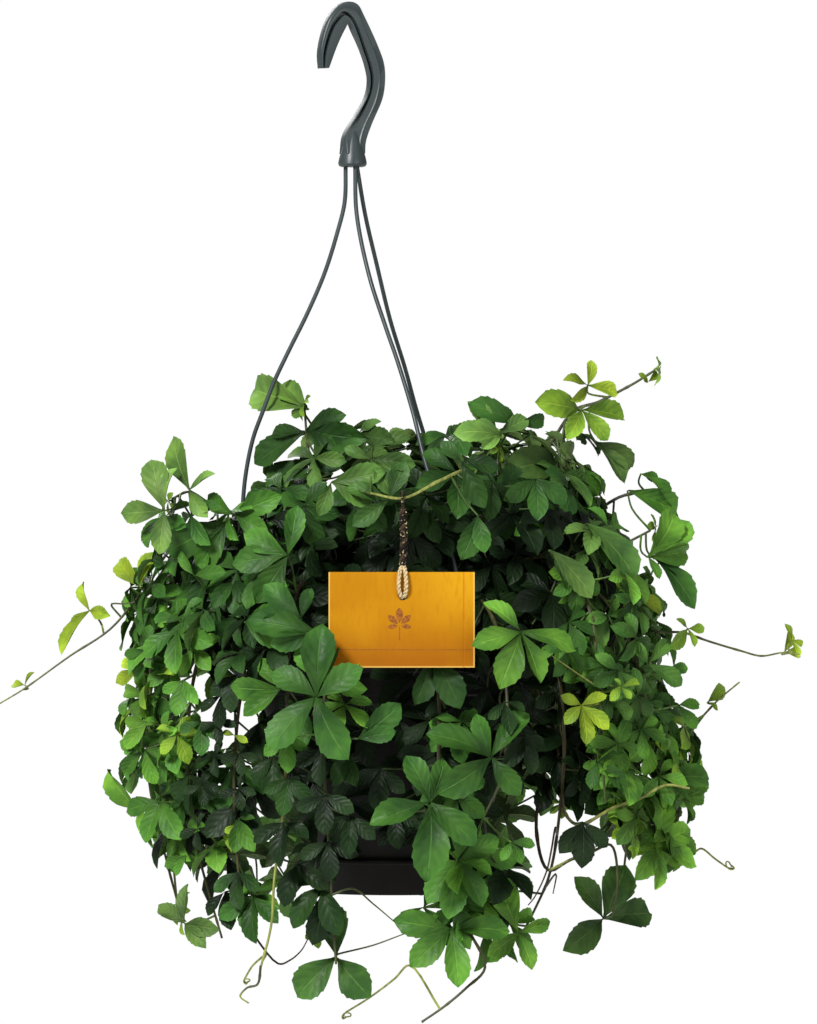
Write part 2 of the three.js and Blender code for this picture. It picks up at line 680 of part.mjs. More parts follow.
function growStems() {
  for (const [name, vine] of Object.entries(VINES)) {
    const solid = stemSolid(vine);
    if (!clears(solid)) throw new Error(name + " runs through another piece");
    const routes = vine.tendril ? [vine.route, vine.tendril] : [vine.route];
    const lines = routes.map((route) => routeCurve(route).getSpacedPoints(stepsOf(route)));
    vines.set(name, { curve: routeCurve(vine.route), lines });
    built.push({ name, solid, box: boxOf(solid) });
  }
}

function nearestStem(point, names = [...vines.keys()]) {
  let best = null;
  for (const name of names)
    for (const line of vines.get(name).lines) {
      const start = nearestOn(line, point);
      if (!best || start.distanceTo(point) < best.start.distanceTo(point)) best = { name, start };
    }
  return best;
}

function moved(leaf, shift) {
  const move = (point) => point.clone().add(shift);
  return { heart: move(leaf.heart), normal: leaf.normal, tips: leaf.tips.map(move) };
}

// A leaf that finds its place taken is brought forward step by step
const FORWARD_STEP = new THREE.Vector3(0, -3, 0);
const FORWARD_STEPS = 8;

// Own leaves stop short of their stem by the gap
function ownLeafSolid(leaf) {
  const { start } = nearestStem(leaf.heart);
  const out = leaf.heart.clone().sub(start).normalize();
  const foot = start.clone().addScaledVector(out, STEM_RADIUS + GAP);
  return leafSolid(leaf, foot);
}

function growOwnLeaves() {
  for (const [name, seen] of Object.entries(SEEN_LEAVES)) {
    let leaf = seenLeaf(seen);
    let solid = ownLeafSolid(leaf);
    for (let step = 0; step < FORWARD_STEPS && !clears(solid); step++) {
      leaf = moved(leaf, FORWARD_STEP);
      solid = ownLeafSolid(leaf);
    }
    if (!clears(solid)) throw new Error(name + " finds no free place");
    place(name, solid, LEAF);
  }
}

function addToVine(name, solid) {
  const entry = built.find((other) => other.name === name);
  entry.solid = entry.solid.add(solid);
  entry.box = boxOf(entry.solid);
}

function joinLeaf(name, leaf) {
  const solid = leafSolid(leaf, nearestStem(leaf.heart, [name]).start);
  if (!clears(solid, name)) return false;
  addToVine(name, solid);
  return true;
}

function growJoinedLeaves() {
  for (const [name, ...seen] of JOINED_LEAVES) {
    let leaf = seenLeaf(seen);
    let joined = joinLeaf(name, leaf);
    for (let step = 0; step < FORWARD_STEPS && !joined; step++) {
      leaf = moved(leaf, FORWARD_STEP);
      joined = joinLeaf(name, leaf);
    }
    if (!joined) throw new Error("a leaf of " + name + " finds no free place");
  }
}

// Leaves along the stems, on alternate sides, where there is room for them
const FIRST_LEAF = 70; // along the stem, from the soil
const LEAF_SPACING = 66;
const LEAF_SIZE = 25;
const STALK_REACH = { out: 16, aside: 17, up: 6 };
const LEAFLET_TURNS = [-128, -64, 0, 64, 128].map(THREE.MathUtils.degToRad);
const LEAFLET_SHARES = [0.72, 0.92, 1, 0.92, 0.72];

function alongStem(curve, share, side) {
  const start = curve.getPointAt(share);
  const run = curve.getTangentAt(share);
  const away = new THREE.Vector3(start.x - AXIS_X, start.y, 0).normalize();
  const aside = away.clone().cross(run).normalize().multiplyScalar(side);
  const heart = start.clone().addScaledVector(away, STALK_REACH.out);
  heart.addScaledVector(aside, STALK_REACH.aside);
  heart.z += STALK_REACH.up;
  const normal = away.clone().addScaledVector(aside, 0.25);
  normal.z += 0.6;
  normal.normalize();
  const down = new THREE.Vector3(0, 0, -1).addScaledVector(aside, 0.5);
  down.addScaledVector(normal, -down.dot(normal)).normalize();
  const cross = normal.clone().cross(down);
  const tips = LEAFLET_TURNS.map((turn, i) => {
    const length = LEAF_SIZE * LEAFLET_SHARES[i];
    const tip = heart.clone().addScaledVector(down, length * Math.cos(turn));
    return tip.addScaledVector(cross, length * Math.sin(turn));
  });
  return { heart, normal, tips };
}

function growAlongStems() {
  for (const [name, { curve }] of vines) {
    const length = curve.getLength();
    let side = 1;
    for (let at = FIRST_LEAF; at < length; at += LEAF_SPACING) {
      joinLeaf(name, alongStem(curve, at / length, side));
      side = -side;
    }
  }
}

place("pot", potSolid(), POT_PLASTIC);
place("potting_soil", soilSolid(), SOIL);
place("drip_saucer", saucerSolid(), POT_PLASTIC);
place("hanger_hook", hookSolid(), PLASTIC);
Object.entries(STRANDS).forEach(([name, route], i) => {
  place(name, strandSolid(route, LUG_TURNS[i]), PLASTIC);
});
place("tag_card", cardSolid(), CARD_STOCK);
place("tag_twine", twineSolid(), TWINE);
growStems();
growOwnLeaves();
growJoinedLeaves();
growAlongStems();
for (const { name, solid } of built.filter((entry) => vines.has(entry.name)))
  show(name, solid, STEM);

export default group;
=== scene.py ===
import random
from math import copysign, cos, hypot, pi, radians, sin, sqrt, tau

import bpy
from mathutils import Matrix, Quaternion, Vector, kdtree, noise


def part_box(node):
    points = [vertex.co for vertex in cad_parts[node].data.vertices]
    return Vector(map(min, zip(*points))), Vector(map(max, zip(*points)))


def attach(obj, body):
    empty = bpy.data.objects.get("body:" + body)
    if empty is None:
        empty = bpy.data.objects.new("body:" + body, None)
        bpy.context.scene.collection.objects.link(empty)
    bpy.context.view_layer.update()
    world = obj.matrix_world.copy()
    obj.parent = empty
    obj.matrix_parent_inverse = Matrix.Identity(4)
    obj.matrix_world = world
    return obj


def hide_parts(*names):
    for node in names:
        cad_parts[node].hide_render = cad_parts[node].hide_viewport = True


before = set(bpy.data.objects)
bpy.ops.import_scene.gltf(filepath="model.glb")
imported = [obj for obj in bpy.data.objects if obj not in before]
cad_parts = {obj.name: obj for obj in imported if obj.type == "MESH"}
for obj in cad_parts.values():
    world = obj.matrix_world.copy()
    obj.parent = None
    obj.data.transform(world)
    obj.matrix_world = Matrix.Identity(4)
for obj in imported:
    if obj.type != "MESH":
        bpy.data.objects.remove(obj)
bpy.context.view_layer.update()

# A miniature grape ivy in a hanging pot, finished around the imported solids. Lengths are the part's
# own, in millimetres, and turn to metres where a mesh is made.
MM = 0.001

# Driving dimensions, as in the part
AXIS_X = 28
RIM_Z = -386
POT_HEIGHT = 131
POT_FOOT = RIM_Z - POT_HEIGHT
POT_RADIUS = 86
POT_FOOT_RADIUS = 44
WALL = 1.6
FLANGE_WIDTH = 4
FLANGE_THICKNESS = 2.4
SOIL_Z = RIM_Z - 14
SAUCER_RADIUS = 52
SAUCER_FOOT_RADIUS = 47
SAUCER_HEIGHT = 21
LUG_RADIUS = 6.3
LUG_HOLE = 2.5
LUG_CENTRE = 93
LUG_TURNS = [radians(turn) for turn in (180, -60, 60)]
STRAND_RADIUS = 1.3
BARB_LENGTH = 7
BARB_RADIUS = 3.9
HOOK_TURN = radians(25)
COLLAR_X, COLLAR_Y = 2.7, 0.6
CARD_WIDTH, CARD_HEIGHT = 85, 55.6
CARD_LEFT, CARD_TOP, CARD_Y = -10.2, -328.9, -151
CARD_STOCK, CARD_FOLD = 0.6, 1.2
CARD_HOLE = (33, -342.9)
CARD_HOLE_RADIUS = 2.5
TWINE_RADIUS = 1.0
TWINE_STEM = (33, -152, -286)
DOME_X, DOME_Z, DOME_RADIUS, DOME_HEIGHT, DOME_DEPTH = 34, -400, 178, 205, 0.88

# The photograph's frame: 817 by 1024 pixels of 0.6 mm at the hook, seen level from 5 m
PIXEL = 0.6
FRAME_HEIGHT = 1024 * PIXEL
EYE = Vector((36.3, -5000, -294))
SENSOR = 36


# Colours, as they look in plain light; DARK, SHADED and the twine's shaded colours are painted shade

def seen_colour(red, green, blue):
    """The linear colour of a colour given in 0 to 255."""
    shares = [value / 255 for value in (red, green, blue)]
    return tuple(s / 12.92 if s < 0.04 else ((s + 0.055) / 1.055) ** 2.4 for s in shares)


def mixed(one, other, share):
    return tuple(a + (b - a) * share for a, b in zip(one, other))


def scaled(colour, by):
    return tuple(value * by for value in colour)


YOUNG = seen_colour(144, 172, 52)
BRIGHT = seen_colour(110, 163, 60)
MIDDLE = seen_colour(80, 131, 50)
DEEP = seen_colour(54, 94, 39)
# DARK: a leaf's green as it looks in shadow, painted shade
DARK = seen_colour(28, 48, 24)
OLIVE = seen_colour(104, 134, 72)
LIME = mixed(YOUNG, BRIGHT, 0.5)
SHADED = mixed(DARK, DEEP, 0.5)
STEM_OLD = seen_colour(56, 44, 30)
STEM_GREEN = seen_colour(70, 82, 38)
STEM_YOUNG = seen_colour(146, 156, 78)
TWINE_CREAM = seen_colour(222, 200, 156)
# The twine as it looks in the leaves' shadow, for its upper run: painted shade
TWINE_SHADED = seen_colour(66, 55, 40)
TWINE_DEEP_SHADED = seen_colour(28, 24, 20)


# Pieces

def placed(name, data):
    """A new object in the scene."""
    made = bpy.data.objects.new(name, data)
    bpy.context.scene.collection.objects.link(made)
    return made


class Piece:
    """Points in mm, each with a place on its patch and a tint, and faces with a material slot."""

    def __init__(self, name):
        self.name = name
        self.points, self.places, self.tints = [], [], []
        self.faces, self.slots = [], []

    def add(self, points, places, faces, tint=(1, 1, 1), slot=0):
        first = len(self.points)
        self.points += points
        self.places += places
        self.tints += tint if isinstance(tint, list) else [tint] * len(points)
        self.add_faces(faces, first, slot)

    def add_faces(self, faces, first, slot):
        self.faces += [[first + i for i in face] for face in faces]
        self.slots += [slot] * len(faces)

    def make(self, materials, crease=50):
        mesh = bpy.data.meshes.new(self.name)
        mesh.from_pydata([Vector(p) * MM for p in self.points], [], self.faces)
        mesh.polygons.foreach_set("material_index", self.slots)
        patch = mesh.uv_layers.new(name="patch")
        corners = [0] * len(mesh.loops)
        mesh.loops.foreach_get("vertex_index", corners)
        patch.uv.foreach_set("vector", [value for i in corners for value in self.places[i]])
        tint = mesh.color_attributes.new("tint", "FLOAT_COLOR", "POINT")
        tint.data.foreach_set("color", [value for t in self.tints for value in (*t, 1)])
        mesh.shade_smooth()
        mesh.set_sharp_from_angle(angle=radians(crease))
        for material in materials:
            mesh.materials.append(material)
        return placed(self.name, mesh)

    def stand_for(self, node, slot, materials, crease=50):
        """Makes the piece and lets it ride on the plant's one body, in place of a node."""
        made = self.make(materials, crease)
        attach(made, "root")
        if node:
            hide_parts(node)
        return made


def grid_faces(rows, columns, closed=False):
    """Quads of a grid of points laid out row by row; closed joins the last column to the first."""
    faces = []
    for row in range(rows - 1):
        for column in range(columns if closed else columns - 1):
            a = row * columns + column
            b = row * columns + (column + 1) % columns
            faces.append((a, b, b + columns, a + columns))
    return faces


def blade_faces(rows, columns):
    """The triangles of a grid of points, cut so that each one at a corner has an inner point."""
    faces = []
    for a, b, c, d in grid_faces(rows, columns):
        if (a // columns < rows // 2) == (a % columns < columns // 2):
            faces += [(a, b, c), (a, c, d)]
        else:
            faces += [(a, b, d), (b, c, d)]
    return faces


AXIS = 0.02  # a turned piece starts this close to its axis


def about(centre, radius, turn, z):
    """The point at a radius and turn about an upright axis."""
    return Vector((centre[0] + radius * cos(turn), centre[1] + radius * sin(turn), z))


def lofted(piece, sections, heights=None, tint=(1, 1, 1), capped=False):
    """A skin over closed sections of as many points each, with the height of each on the patch."""
    rows, columns = len(sections), len(sections[0])
    heights = heights or [row / rows for row in range(rows)]
    places = [(column / columns, height) for height in heights for column in range(columns)]
    faces = grid_faces(rows, columns, closed=True)
    if capped:
        first, last = range(columns), range((rows - 1) * columns, rows * columns)
        faces += [tuple(reversed(first)), tuple(last)]
    piece.add([point for section in sections for point in section], places, faces, tint)


def turned(piece, profile, centre=(AXIS_X, 0), sides=96):
    """A turned piece, from a profile of (radius, z) that runs from the axis round to the axis."""
    turns = [tau * side / sides for side in range(sides)]
    lofted(piece, [[about(centre, radius, turn, z) for turn in turns] for radius, z in profile])


def rounded(profile, size, steps=3):
    """A profile with all corners but its ends rounded off by at most a size."""
    profile = [Vector(corner) for corner in profile]
    soft = [profile[0]]
    for before, corner, after in zip(profile, profile[1:], profile[2:]):
        reach = min(size, (before - corner).length / 2.1, (after - corner).length / 2.1)
        start, end = [corner + (p - corner).normalized() * reach for p in (before, after)]
        for step in range(steps + 1):
            share = step / steps
            soft.append(start.lerp(corner, share).lerp(corner.lerp(end, share), share))
    return soft + [profile[-1]]


def spline(points, per_span=6):
    """Points along a centripetal Catmull-Rom curve, as the part's stems follow it."""
    points = [Vector(point) for point in points]
    ends = [2 * points[0] - points[1], *points, 2 * points[-1] - points[-2]]
    path = []
    for a, b, c, d in zip(ends, ends[1:], ends[2:], ends[3:]):
        before, span, after = [
            max((other - one).length, 1e-6) ** 0.5 for one, other in ((a, b), (b, c), (c, d))
        ]
        leave = (b - a) / before - (c - a) / (before + span) + (c - b) / span
        arrive = (c - b) / span - (d - b) / (span + after) + (d - c) / after
        for step in range(per_span):
            t = step / per_span
            point = b * (2 * t**3 - 3 * t**2 + 1) + c * (3 * t**2 - 2 * t**3)
            point += leave * span * (t**3 - 2 * t**2 + t) + arrive * span * (t**3 - t**2)
            path.append(point)
    return path + [points[-1]]


def lengths(path):
    """How far along a path each of its points is."""
    found = [0]
    for one, other in zip(path, path[1:]):
        found.append(found[-1] + (other - one).length)
    return found


def directions(path):
    """The way a path runs at each of its points."""
    ends = [path[0], *path, path[-1]]
    return [(after - before).normalized() for before, after in zip(ends, ends[2:])]


def frames(path):
    """At each point of a path, two directions across it, which don't spin about it."""
    runs = directions(path)
    across = runs[0].orthogonal().normalized()
    found = []
    for before, run in zip([runs[0], *runs], runs):
        across = before.rotation_difference(run) @ across
        across = (across - run * across.dot(run)).normalized()
        found.append((across, run.cross(across)))
    return found


def tapered(start, end, count):
    """Evenly spaced values from start to end."""
    return [start + (end - start) * i / (count - 1) for i in range(count)]


def tube(piece, path, radius, sides=6, tint=(1, 1, 1)):
    """A closed tube along a path; radius and tint are one value, or one for each point."""
    radii = radius if isinstance(radius, list) else [radius] * len(path)
    if isinstance(tint, list):
        tint = [colour for colour in tint for _ in range(sides)]
    turns = [tau * side / sides for side in range(sides)]
    sections = [
        [point + (across * cos(turn) + aside * sin(turn)) * thick for turn in turns]
        for point, thick, (across, aside) in zip(path, radii, frames(path))
    ]
    lofted(piece, sections, [length / 100 for length in lengths(path)], tint, capped=True)


# Leaves. A leaf has a heart, the way it faces, and the tips of its leaflets.

# Material slots of a leaf's two sides; stems and petioles have slot 0
LEAF_TOP, LEAF_UNDER = 1, 2

# Half the width of a leaflet at stations along its midrib, as shares of its length. Towards the
# tip, each tooth's point is followed by the notch above it.
BLADE = [
    (0.00, 0.010), (0.08, 0.036), (0.20, 0.108), (0.32, 0.178), (0.44, 0.228), (0.54, 0.256),
    (0.57, 0.236), (0.67, 0.250), (0.70, 0.222), (0.79, 0.204), (0.82, 0.168), (0.91, 0.098),
    (1.00, 0.006),
]
PLAIN_BLADE = [(0.0, 0.01), (0.2, 0.11), (0.5, 0.25), (0.68, 0.245), (0.86, 0.15), (1.0, 0.006)]
COLUMNS = (-1, -0.5, 0, 0.5, 1)
PLAIN_COLUMNS = (-1, 0, 1)
BLADE_THICKNESS = 0.4
PETIOLE_RADIUS = 0.55

# How leaflets vary: tilt about the midrib, arch, fold and twist in radians, the ripple of the
# edges as a share of the length, and how much lighter the tip and edges are: painted light
TILT, BEND, FOLD, TWIST = (-0.45, 0.45), (0.25, 0.95), (0.15, 0.6), (-0.3, 0.3)
RIPPLE = (0.01, 0.035)
TIP_AND_EDGE_LIGHT = (0, 0, 0.2, 0.4)


def arched(share, bend):
    """Place along and above a chord of length 1, and the slope there, of an arc of a given bend."""
    if abs(bend) < 0.01:
        return share, 0, 0
    chord = 2 * sin(bend / 2)
    slope = bend * (0.5 - share)
    return (sin(bend / 2) - sin(slope)) / chord, (cos(slope) - cos(bend / 2)) / chord, slope


def leaflet(piece, heart, tip, normal, tint, chance, width=1, plain=False):
    """One toothed blade, folded a little along its midrib and arched from its foot to its tip."""
    reach = tip - heart
    length, run = reach.length, reach.normalized()
    normal = (normal - run * normal.dot(run)).normalized()
    normal = Quaternion(run, chance.uniform(*TILT)) @ normal
    side = run.cross(normal)
    bend, fold, twist = [chance.uniform(*most) for most in (BEND, FOLD, TWIST)]
    ripple = chance.uniform(*RIPPLE) * length
    phase = chance.uniform(0, 6)
    brighter = chance.choice(TIP_AND_EDGE_LIGHT)
    outline, columns = (PLAIN_BLADE, PLAIN_COLUMNS) if plain else (BLADE, COLUMNS)
    top, below, places, tints = [], [], [], []
    for share, half in outline:
        turn = Quaternion(run, twist * share)
        for column in columns:
            ahead = share + 0.05 * column * column * sin(pi * share)
            along, above, slope = arched(ahead, bend)
            up = normal * cos(slope) - run * sin(slope)
            off = abs(column)
            out = off * half * width * length
            lift = out * sin(fold) * off ** 0.4 + ripple * off * sin(9 * share + phase + column)
            aside = copysign(out * cos(fold), column)
            centre = heart + run * (along * length) + normal * (above * length)
            point = centre + turn @ (side * aside + up * lift)
            thick = BLADE_THICKNESS / 2 * (1 - off)
            top.append(point + up * thick)
            below.append(point - up * thick)
            places.append((0.5 + column / 2, share))
            # Painted shade and light: the tint runs from dark at the heart, where the leaflets meet,
            # to light at the tip, and some leaflets are lighter again towards the tip and edges
            tints.append(scaled(tint, 0.42 + 0.8 * share + brighter * max(share, off) ** 3))
    rows, count = len(outline), len(columns)
    inner = [row * count + i for row in range(1, rows - 1) for i in range(1, count - 1)]
    faces = blade_faces(rows, count)
    under = {i: rows * count + n for n, i in enumerate(inner)}
    back = [tuple(under.get(i, i) for i in reversed(face)) for face in faces]
    first = len(piece.points)
    points = top + [below[i] for i in inner]
    places += [places[i] for i in inner]
    tints += [tints[i] for i in inner]
    piece.add(points, places, faces, tints, LEAF_TOP)
    piece.add_faces(back, first, LEAF_UNDER)


def leaf(piece, heart, normal, tips, foot, tint, chance, width=1, plain=False):
    """A petiole from its foot on a stem, and a leaflet to each tip."""
    bend = foot.lerp(heart, 0.6) - normal * (0.12 * (heart - foot).length + 1)
    path = spline([foot, bend, heart - normal * 0.5], 4)
    radii = tapered(1.35 * PETIOLE_RADIUS, PETIOLE_RADIUS, len(path))
    tube(piece, path, radii, 5, mixed(tint, STEM_GREEN, 0.5))
    for tip in tips:
        shade = scaled(tint, chance.uniform(0.7, 1.25))
        leaflet(piece, heart, tip, normal, shade, chance, width, plain)


def on_dome(x, z, nearer=0):
    """The point of the dome that is seen at x, z, brought nearer by a distance."""
    up = (z - DOME_Z) / DOME_HEIGHT
    radius = DOME_RADIUS * max(0.15, 1 - up * up) ** 0.25
    side = (x - DOME_X) / radius
    y = -DOME_DEPTH * radius * sqrt(max(0, 1 - side * side)) - nearer
    return EYE.lerp(Vector((x, 0, z)), (y - EYE.y) / -EYE.y)


def away_from_axis(point, up=0):
    return Vector((point.x - AXIS_X, point.y, up)).normalized()


def facing(point):
    """The way a leaf faces that is seen from the front: out, to the eye and a little up."""
    away = away_from_axis(point)
    return Vector((away.x, min(away.y, 0) - 0.9, 0.45)).normalized()


def seen_tips(heart, normal, x, z, tips):
    """Tips on the leaf's plane, as far from its heart across and up as the given places."""
    moves = [(tip_x - x, tip_z - z) for tip_x, tip_z in tips]
    return [
        heart + Vector((a, -(normal.x * a + normal.z * b) / normal.y, b)) for a, b in moves
    ]


def as_seen(point):
    """Where a point shows, in the plane through the hook."""
    scale = -EYE.y / (point.y - EYE.y)
    return EYE.x + (point.x - EYE.x) * scale, EYE.z + (point.z - EYE.z) * scale


def inside(outline, x, z):
    """True if a place is inside a closed outline."""
    crossings = 0
    for (x1, z1), (x2, z2) in zip(outline, outline[1:] + outline[:1]):
        if (z1 > z) != (z2 > z) and x < x1 + (z - z1) * (x2 - x1) / (z2 - z1):
            crossings += 1
    return crossings % 2 == 1


# Stems, as the part routes them: the stem and, where there is one, the thin run that it ends in
S = SOIL_Z
VINES = {
    "vine_front_left": [[
        (0, -25, S), (-14, -60, -345), (-28, -105, -338), (-34, -130, -380), (-35, -134, -430),
        (-37, -134, -470), (-42, -133, -508), (-44, -132, -536), (-50, -131, -560),
    ], [
        (-50, -131, -559), (-52, -131, -570), (-58, -131, -572), (-62, -131, -577),
        (-57, -131, -581),
    ]],
    "vine_front_centre_left": [[
        (12, -35, S), (2, -72, -350), (-6, -116, -350), (-12, -143, -390), (-13, -146, -440),
        (-10, -142, -490), (-8, -138, -530), (-6, -135, -558),
    ]],
    "vine_front_centre": [[
        (42, -35, S), (46, -75, -352), (50, -116, -358), (54, -130, -400), (54, -136, -450),
        (58, -138, -500), (70, -136, -535), (81, -134, -560), (70, -133, -572), (57, -132, -583),
        (44, -131, -592),
    ]],
    "vine_front_centre_right": [[
        (62, -30, S), (74, -66, -345), (88, -108, -362), (94, -130, -410), (90, -137, -450),
        (80, -139, -472),
    ]],
    "vine_front_right": [[
        (70, -22, S), (94, -50, -330), (124, -84, -322), (143, -104, -352), (147, -110, -388),
        (149, -110, -425), (152, -106, -465),
    ]],
    "vine_low_right": [[
        (80, -18, S), (108, -48, -350), (124, -78, -385), (128, -96, -430), (128, -100, -470),
        (136, -98, -478), (157, -95, -468), (172, -92, -463), (188, -88, -455), (202, -84, -457),
    ]],
    "vine_dark_leaf": [[
        (74, 16, S), (102, -8, -348), (122, -34, -385), (118, -52, -440), (112, -60, -481),
        (119, -64, -506), (132, -66, -500), (145, -68, -495), (156, -70, -491), (160, -71, -512),
        (157, -71, -533),
    ]],
    "vine_bottom_right": [[
        (60, 4, S), (92, -24, -362), (110, -56, -392), (126, -74, -440), (124, -77, -485),
        (119, -78, -510), (111, -84, -528), (103, -92, -543),
    ]],
    "vine_top_right": [[
        (58, 22, S), (78, 26, -330), (98, 22, -288), (120, 15, -256), (136, 10, -233),
        (150, 8, -228),
        (162, 6, -222), (173, 5, -216), (184, 4, -209),
    ]],
    "vine_right_arch": [[
        (72, 12, S), (98, 25, -336), (124, 22, -306), (148, 18, -294), (166, 14, -284),
        (185, 10, -283), (196, 6, -293), (201, 3, -312),
    ]],
    "vine_right_short": [[
        (84, 6, S), (112, -6, -348), (138, -10, -328), (164, -14, -314), (181, -16, -305),
    ]],
    "runner_right": [[
        (88, -6, S), (108, -8, -352), (136, -20, -340), (165, -30, -352), (186, -28, -366),
    ], [
        (185, -28, -366), (200, -26, -366), (215, -25, -371), (235, -24, -377), (247, -23, -380),
        (260, -22, -378), (270, -21, -379),
    ]],
    "vine_right_side": [[
        (86, 26, S), (116, 32, -348), (156, 26, -350), (184, 16, -385), (196, 8, -425),
        (200, 4, -460),
        (196, 0, -490),
    ], [
        (196, 8, -426), (209, 4, -420), (222, 2, -407), (235, 0, -396),
    ]],
    "runner_left": [[
        (-20, 2, S), (-36, -10, -352), (-62, -18, -332), (-95, -20, -327), (-124, -20, -343),
    ], [
        (-123, -20, -342), (-142, -19, -364), (-166, -18, -380), (-194, -17, -400),
        (-209, -16, -409),
    ]],
    "vine_upper_left": [[
        (-14, -22, S), (-30, -42, -340), (-44, -54, -302), (-62, -56, -296), (-80, -52, -290),
        (-94, -48, -282), (-104, -45, -286),
    ]],
    "vine_left_side": [[
        (-26, 18, S), (-56, 24, -350), (-92, 18, -338), (-114, 10, -365), (-120, 4, -410),
        (-120, 0, -450), (-112, -3, -490), (-100, -6, -536),
    ]],
    "vine_left": [[
        (-22, -30, S), (-48, -56, -352), (-74, -76, -346), (-90, -82, -390), (-94, -80, -440),
        (-90, -78, -485), (-80, -75, -525), (-74, -72, -546),
    ]],
    "vine_centre_left": [[
        (-8, -42, S), (-32, -78, -352), (-52, -103, -352), (-62, -111, -400), (-66, -112, -450),
        (-64, -110, -500), (-58, -106, -538),
    ]],
    "vine_top_left": [[
        (4, 12, S), (-6, 6, -340), (-18, 0, -290), (-24, -3, -255), (-26, -5, -232),
    ]],
    "vine_top": [[
        (24, 22, S), (18, 26, -330), (10, 24, -285), (6, 20, -258), (14, 16, -247),
    ]],
    "vine_tag": [[
        (46, -12, S), (62, -38, -345), (80, -80, -296), (72, -122, -270), (54, -146, -276),
        TWINE_STEM, (14, -151, -283),
    ]],
    "vine_top_back_right": [[
        (50, 40, S), (66, 56, -335), (82, 66, -285), (92, 66, -248),
    ]],
    "vine_crest": [[
        (66, -10, S), (80, -18, -345), (92, -24, -295), (90, -36, -256),
    ]],
    "vine_right": [[
        (84, -34, S), (110, -60, -338), (148, -68, -342), (172, -68, -385), (178, -66, -425),
        (177, -62, -465), (182, -58, -494),
    ]],
}

# Stems at the back: turn about the pot's axis, crest height, reach, lowest point
BACK_VINES = [
    (28, -330, 165, -520),
    (48, -300, 160, -470),
    (68, -325, 165, -545),
    (88, -290, 155, -500),
    (108, -325, 165, -550),
    (128, -300, 160, -480),
    (148, -330, 165, -530),
]

# Leaves that the part has as solids of their own: the heart and the tips as they are seen, how much
# nearer than the dome they are, their colour and how wide their leaflets are
OWN_LEAVES = {
    "leaf_right_of_tag": (
        (104, -366), [(82, -349), (75, -374), (91, -399), (115, -396), (136, -377)],
        10, mixed(BRIGHT, MIDDLE, 0.4), 1,
    ),
    "leaf_young_right": (
        (140, -410), [(128, -404), (130, -421), (143, -433), (156, -424), (155, -404)],
        6, YOUNG, 1,
    ),
    "leaf_below_right": (
        (86, -441), [(54, -462), (48, -428), (77, -416), (108, -416), (103, -463)],
        6, mixed(MIDDLE, DEEP, 0.75), 1,
    ),
    "leaf_low_centre": (
        (49, -468), [(76, -493), (47, -514), (14, -481), (35, -441), (57, -443)],
        12, mixed(MIDDLE, DEEP, 0.9), 1,
    ),
    "leaf_left_of_tag": (
        (-19, -405), [(0, -441), (-46, -436), (-45, -391), (-16, -363), (8, -388)],
        22, DEEP, 1.1,
    ),
    "leaf_behind_tag": (
        (50, -380), [(30, -372), (40, -409), (67, -411), (74, -376)],
        -16, SHADED, 1,
    ),
    "leaf_trailing_centre": (
        (62, -544), [(96, -546), (73, -556), (66, -578), (38, -566), (28, -539)],
        8, mixed(BRIGHT, MIDDLE, 0.9), 1,
    ),
    "leaf_trailing_right": (
        (102, -546), [(88, -512), (121, -540), (110, -568), (84, -560)],
        0, BRIGHT, 1,
    ),
    "leaf_dark_right": (
        (153, -538), [(136, -513), (167, -507), (182, -536), (129, -556)],
        -20, mixed(SHADED, OLIVE, 0.2), 1.1,
    ),
    "leaf_low_right": (
        (184, -495), [(188, -466), (206, -485), (209, -507), (184, -520), (172, -514)],
        0, BRIGHT, 1,
    ),
    "leaf_trailing_left": (
        (-7, -561), [(-30, -584), (13, -584), (-12, -530)],
        4, mixed(DEEP, OLIVE, 0.12), 1.35,
    ),
    "leaf_low_left": (
        (-98, -541), [(-96, -518), (-114, -531), (-85, -555), (-77, -544)],
        0, mixed(OLIVE, DEEP, 0.4), 1,
    ),
    "leaf_upper_left": (
        (-110, -293), [(-118, -263), (-136, -295), (-113, -319), (-103, -268)],
        20, mixed(OLIVE, BRIGHT, 0.25), 1,
    ),
    "leaf_top_left": (
        (-95, -281), [(-105, -249), (-80, -271), (-84, -297)],
        0, mixed(OLIVE, BRIGHT, 0.35), 1,
    ),
    "leaf_top_right": (
        (144, -218), [(146, -203), (162, -223), (133, -227), (129, -215)],
        0, YOUNG, 1,
    ),
}

# Leaves whose stem is known: the stem, the heart and the tips
JOINED_LEAVES = [
    ("vine_left_side", (-100, -490), [(-116, -502), (-104, -510), (-88, -505)]),
    ("runner_left", (-125, -339), [(-115, -318), (-138, -323)]),
    ("runner_left", (-155, -353), [(-159, -336), (-142, -356), (-166, -364), (-172, -380)]),
    ("vine_top_left", (-25, -245), [(-1, -236), (5, -250)]),
    ("vine_top", (6, -247), [(28, -252), (-16, -251), (20, -240)]),
    ("vine_crest", (90, -247), [(72, -228), (108, -238), (76, -250)]),
    ("vine_top_right", (149, -252), [(171, -267), (166, -277)]),
    ("runner_right", (170, -345), [(188, -354), (176, -336), (160, -332)]),
    ("runner_right", (262, -378), [(266, -366), (272, -379)]),
    ("vine_tag", (24, -287), [(3, -302), (0, -280), (34, -264)]),
    ("vine_tag", (68, -264), [(82, -291), (56, -252), (90, -268)]),
    ("vine_low_right", (188, -455), [(217, -455), (196, -437), (204, -467)]),
    ("vine_upper_left", (-72, -300), [(-108, -318), (-90, -328)]),
    ("vine_front_left", (-44, -440), [(-42, -468), (-56, -458)]),
    ("vine_centre_left", (-66, -478), [(-68, -498), (-56, -497), (-56, -478)]),
    ("vine_right_arch", (146, -298), [(163, -310), (150, -318), (130, -300)]),
    ("vine_right", (180, -385), [(200, -398), (192, -372), (170, -372)]),
]
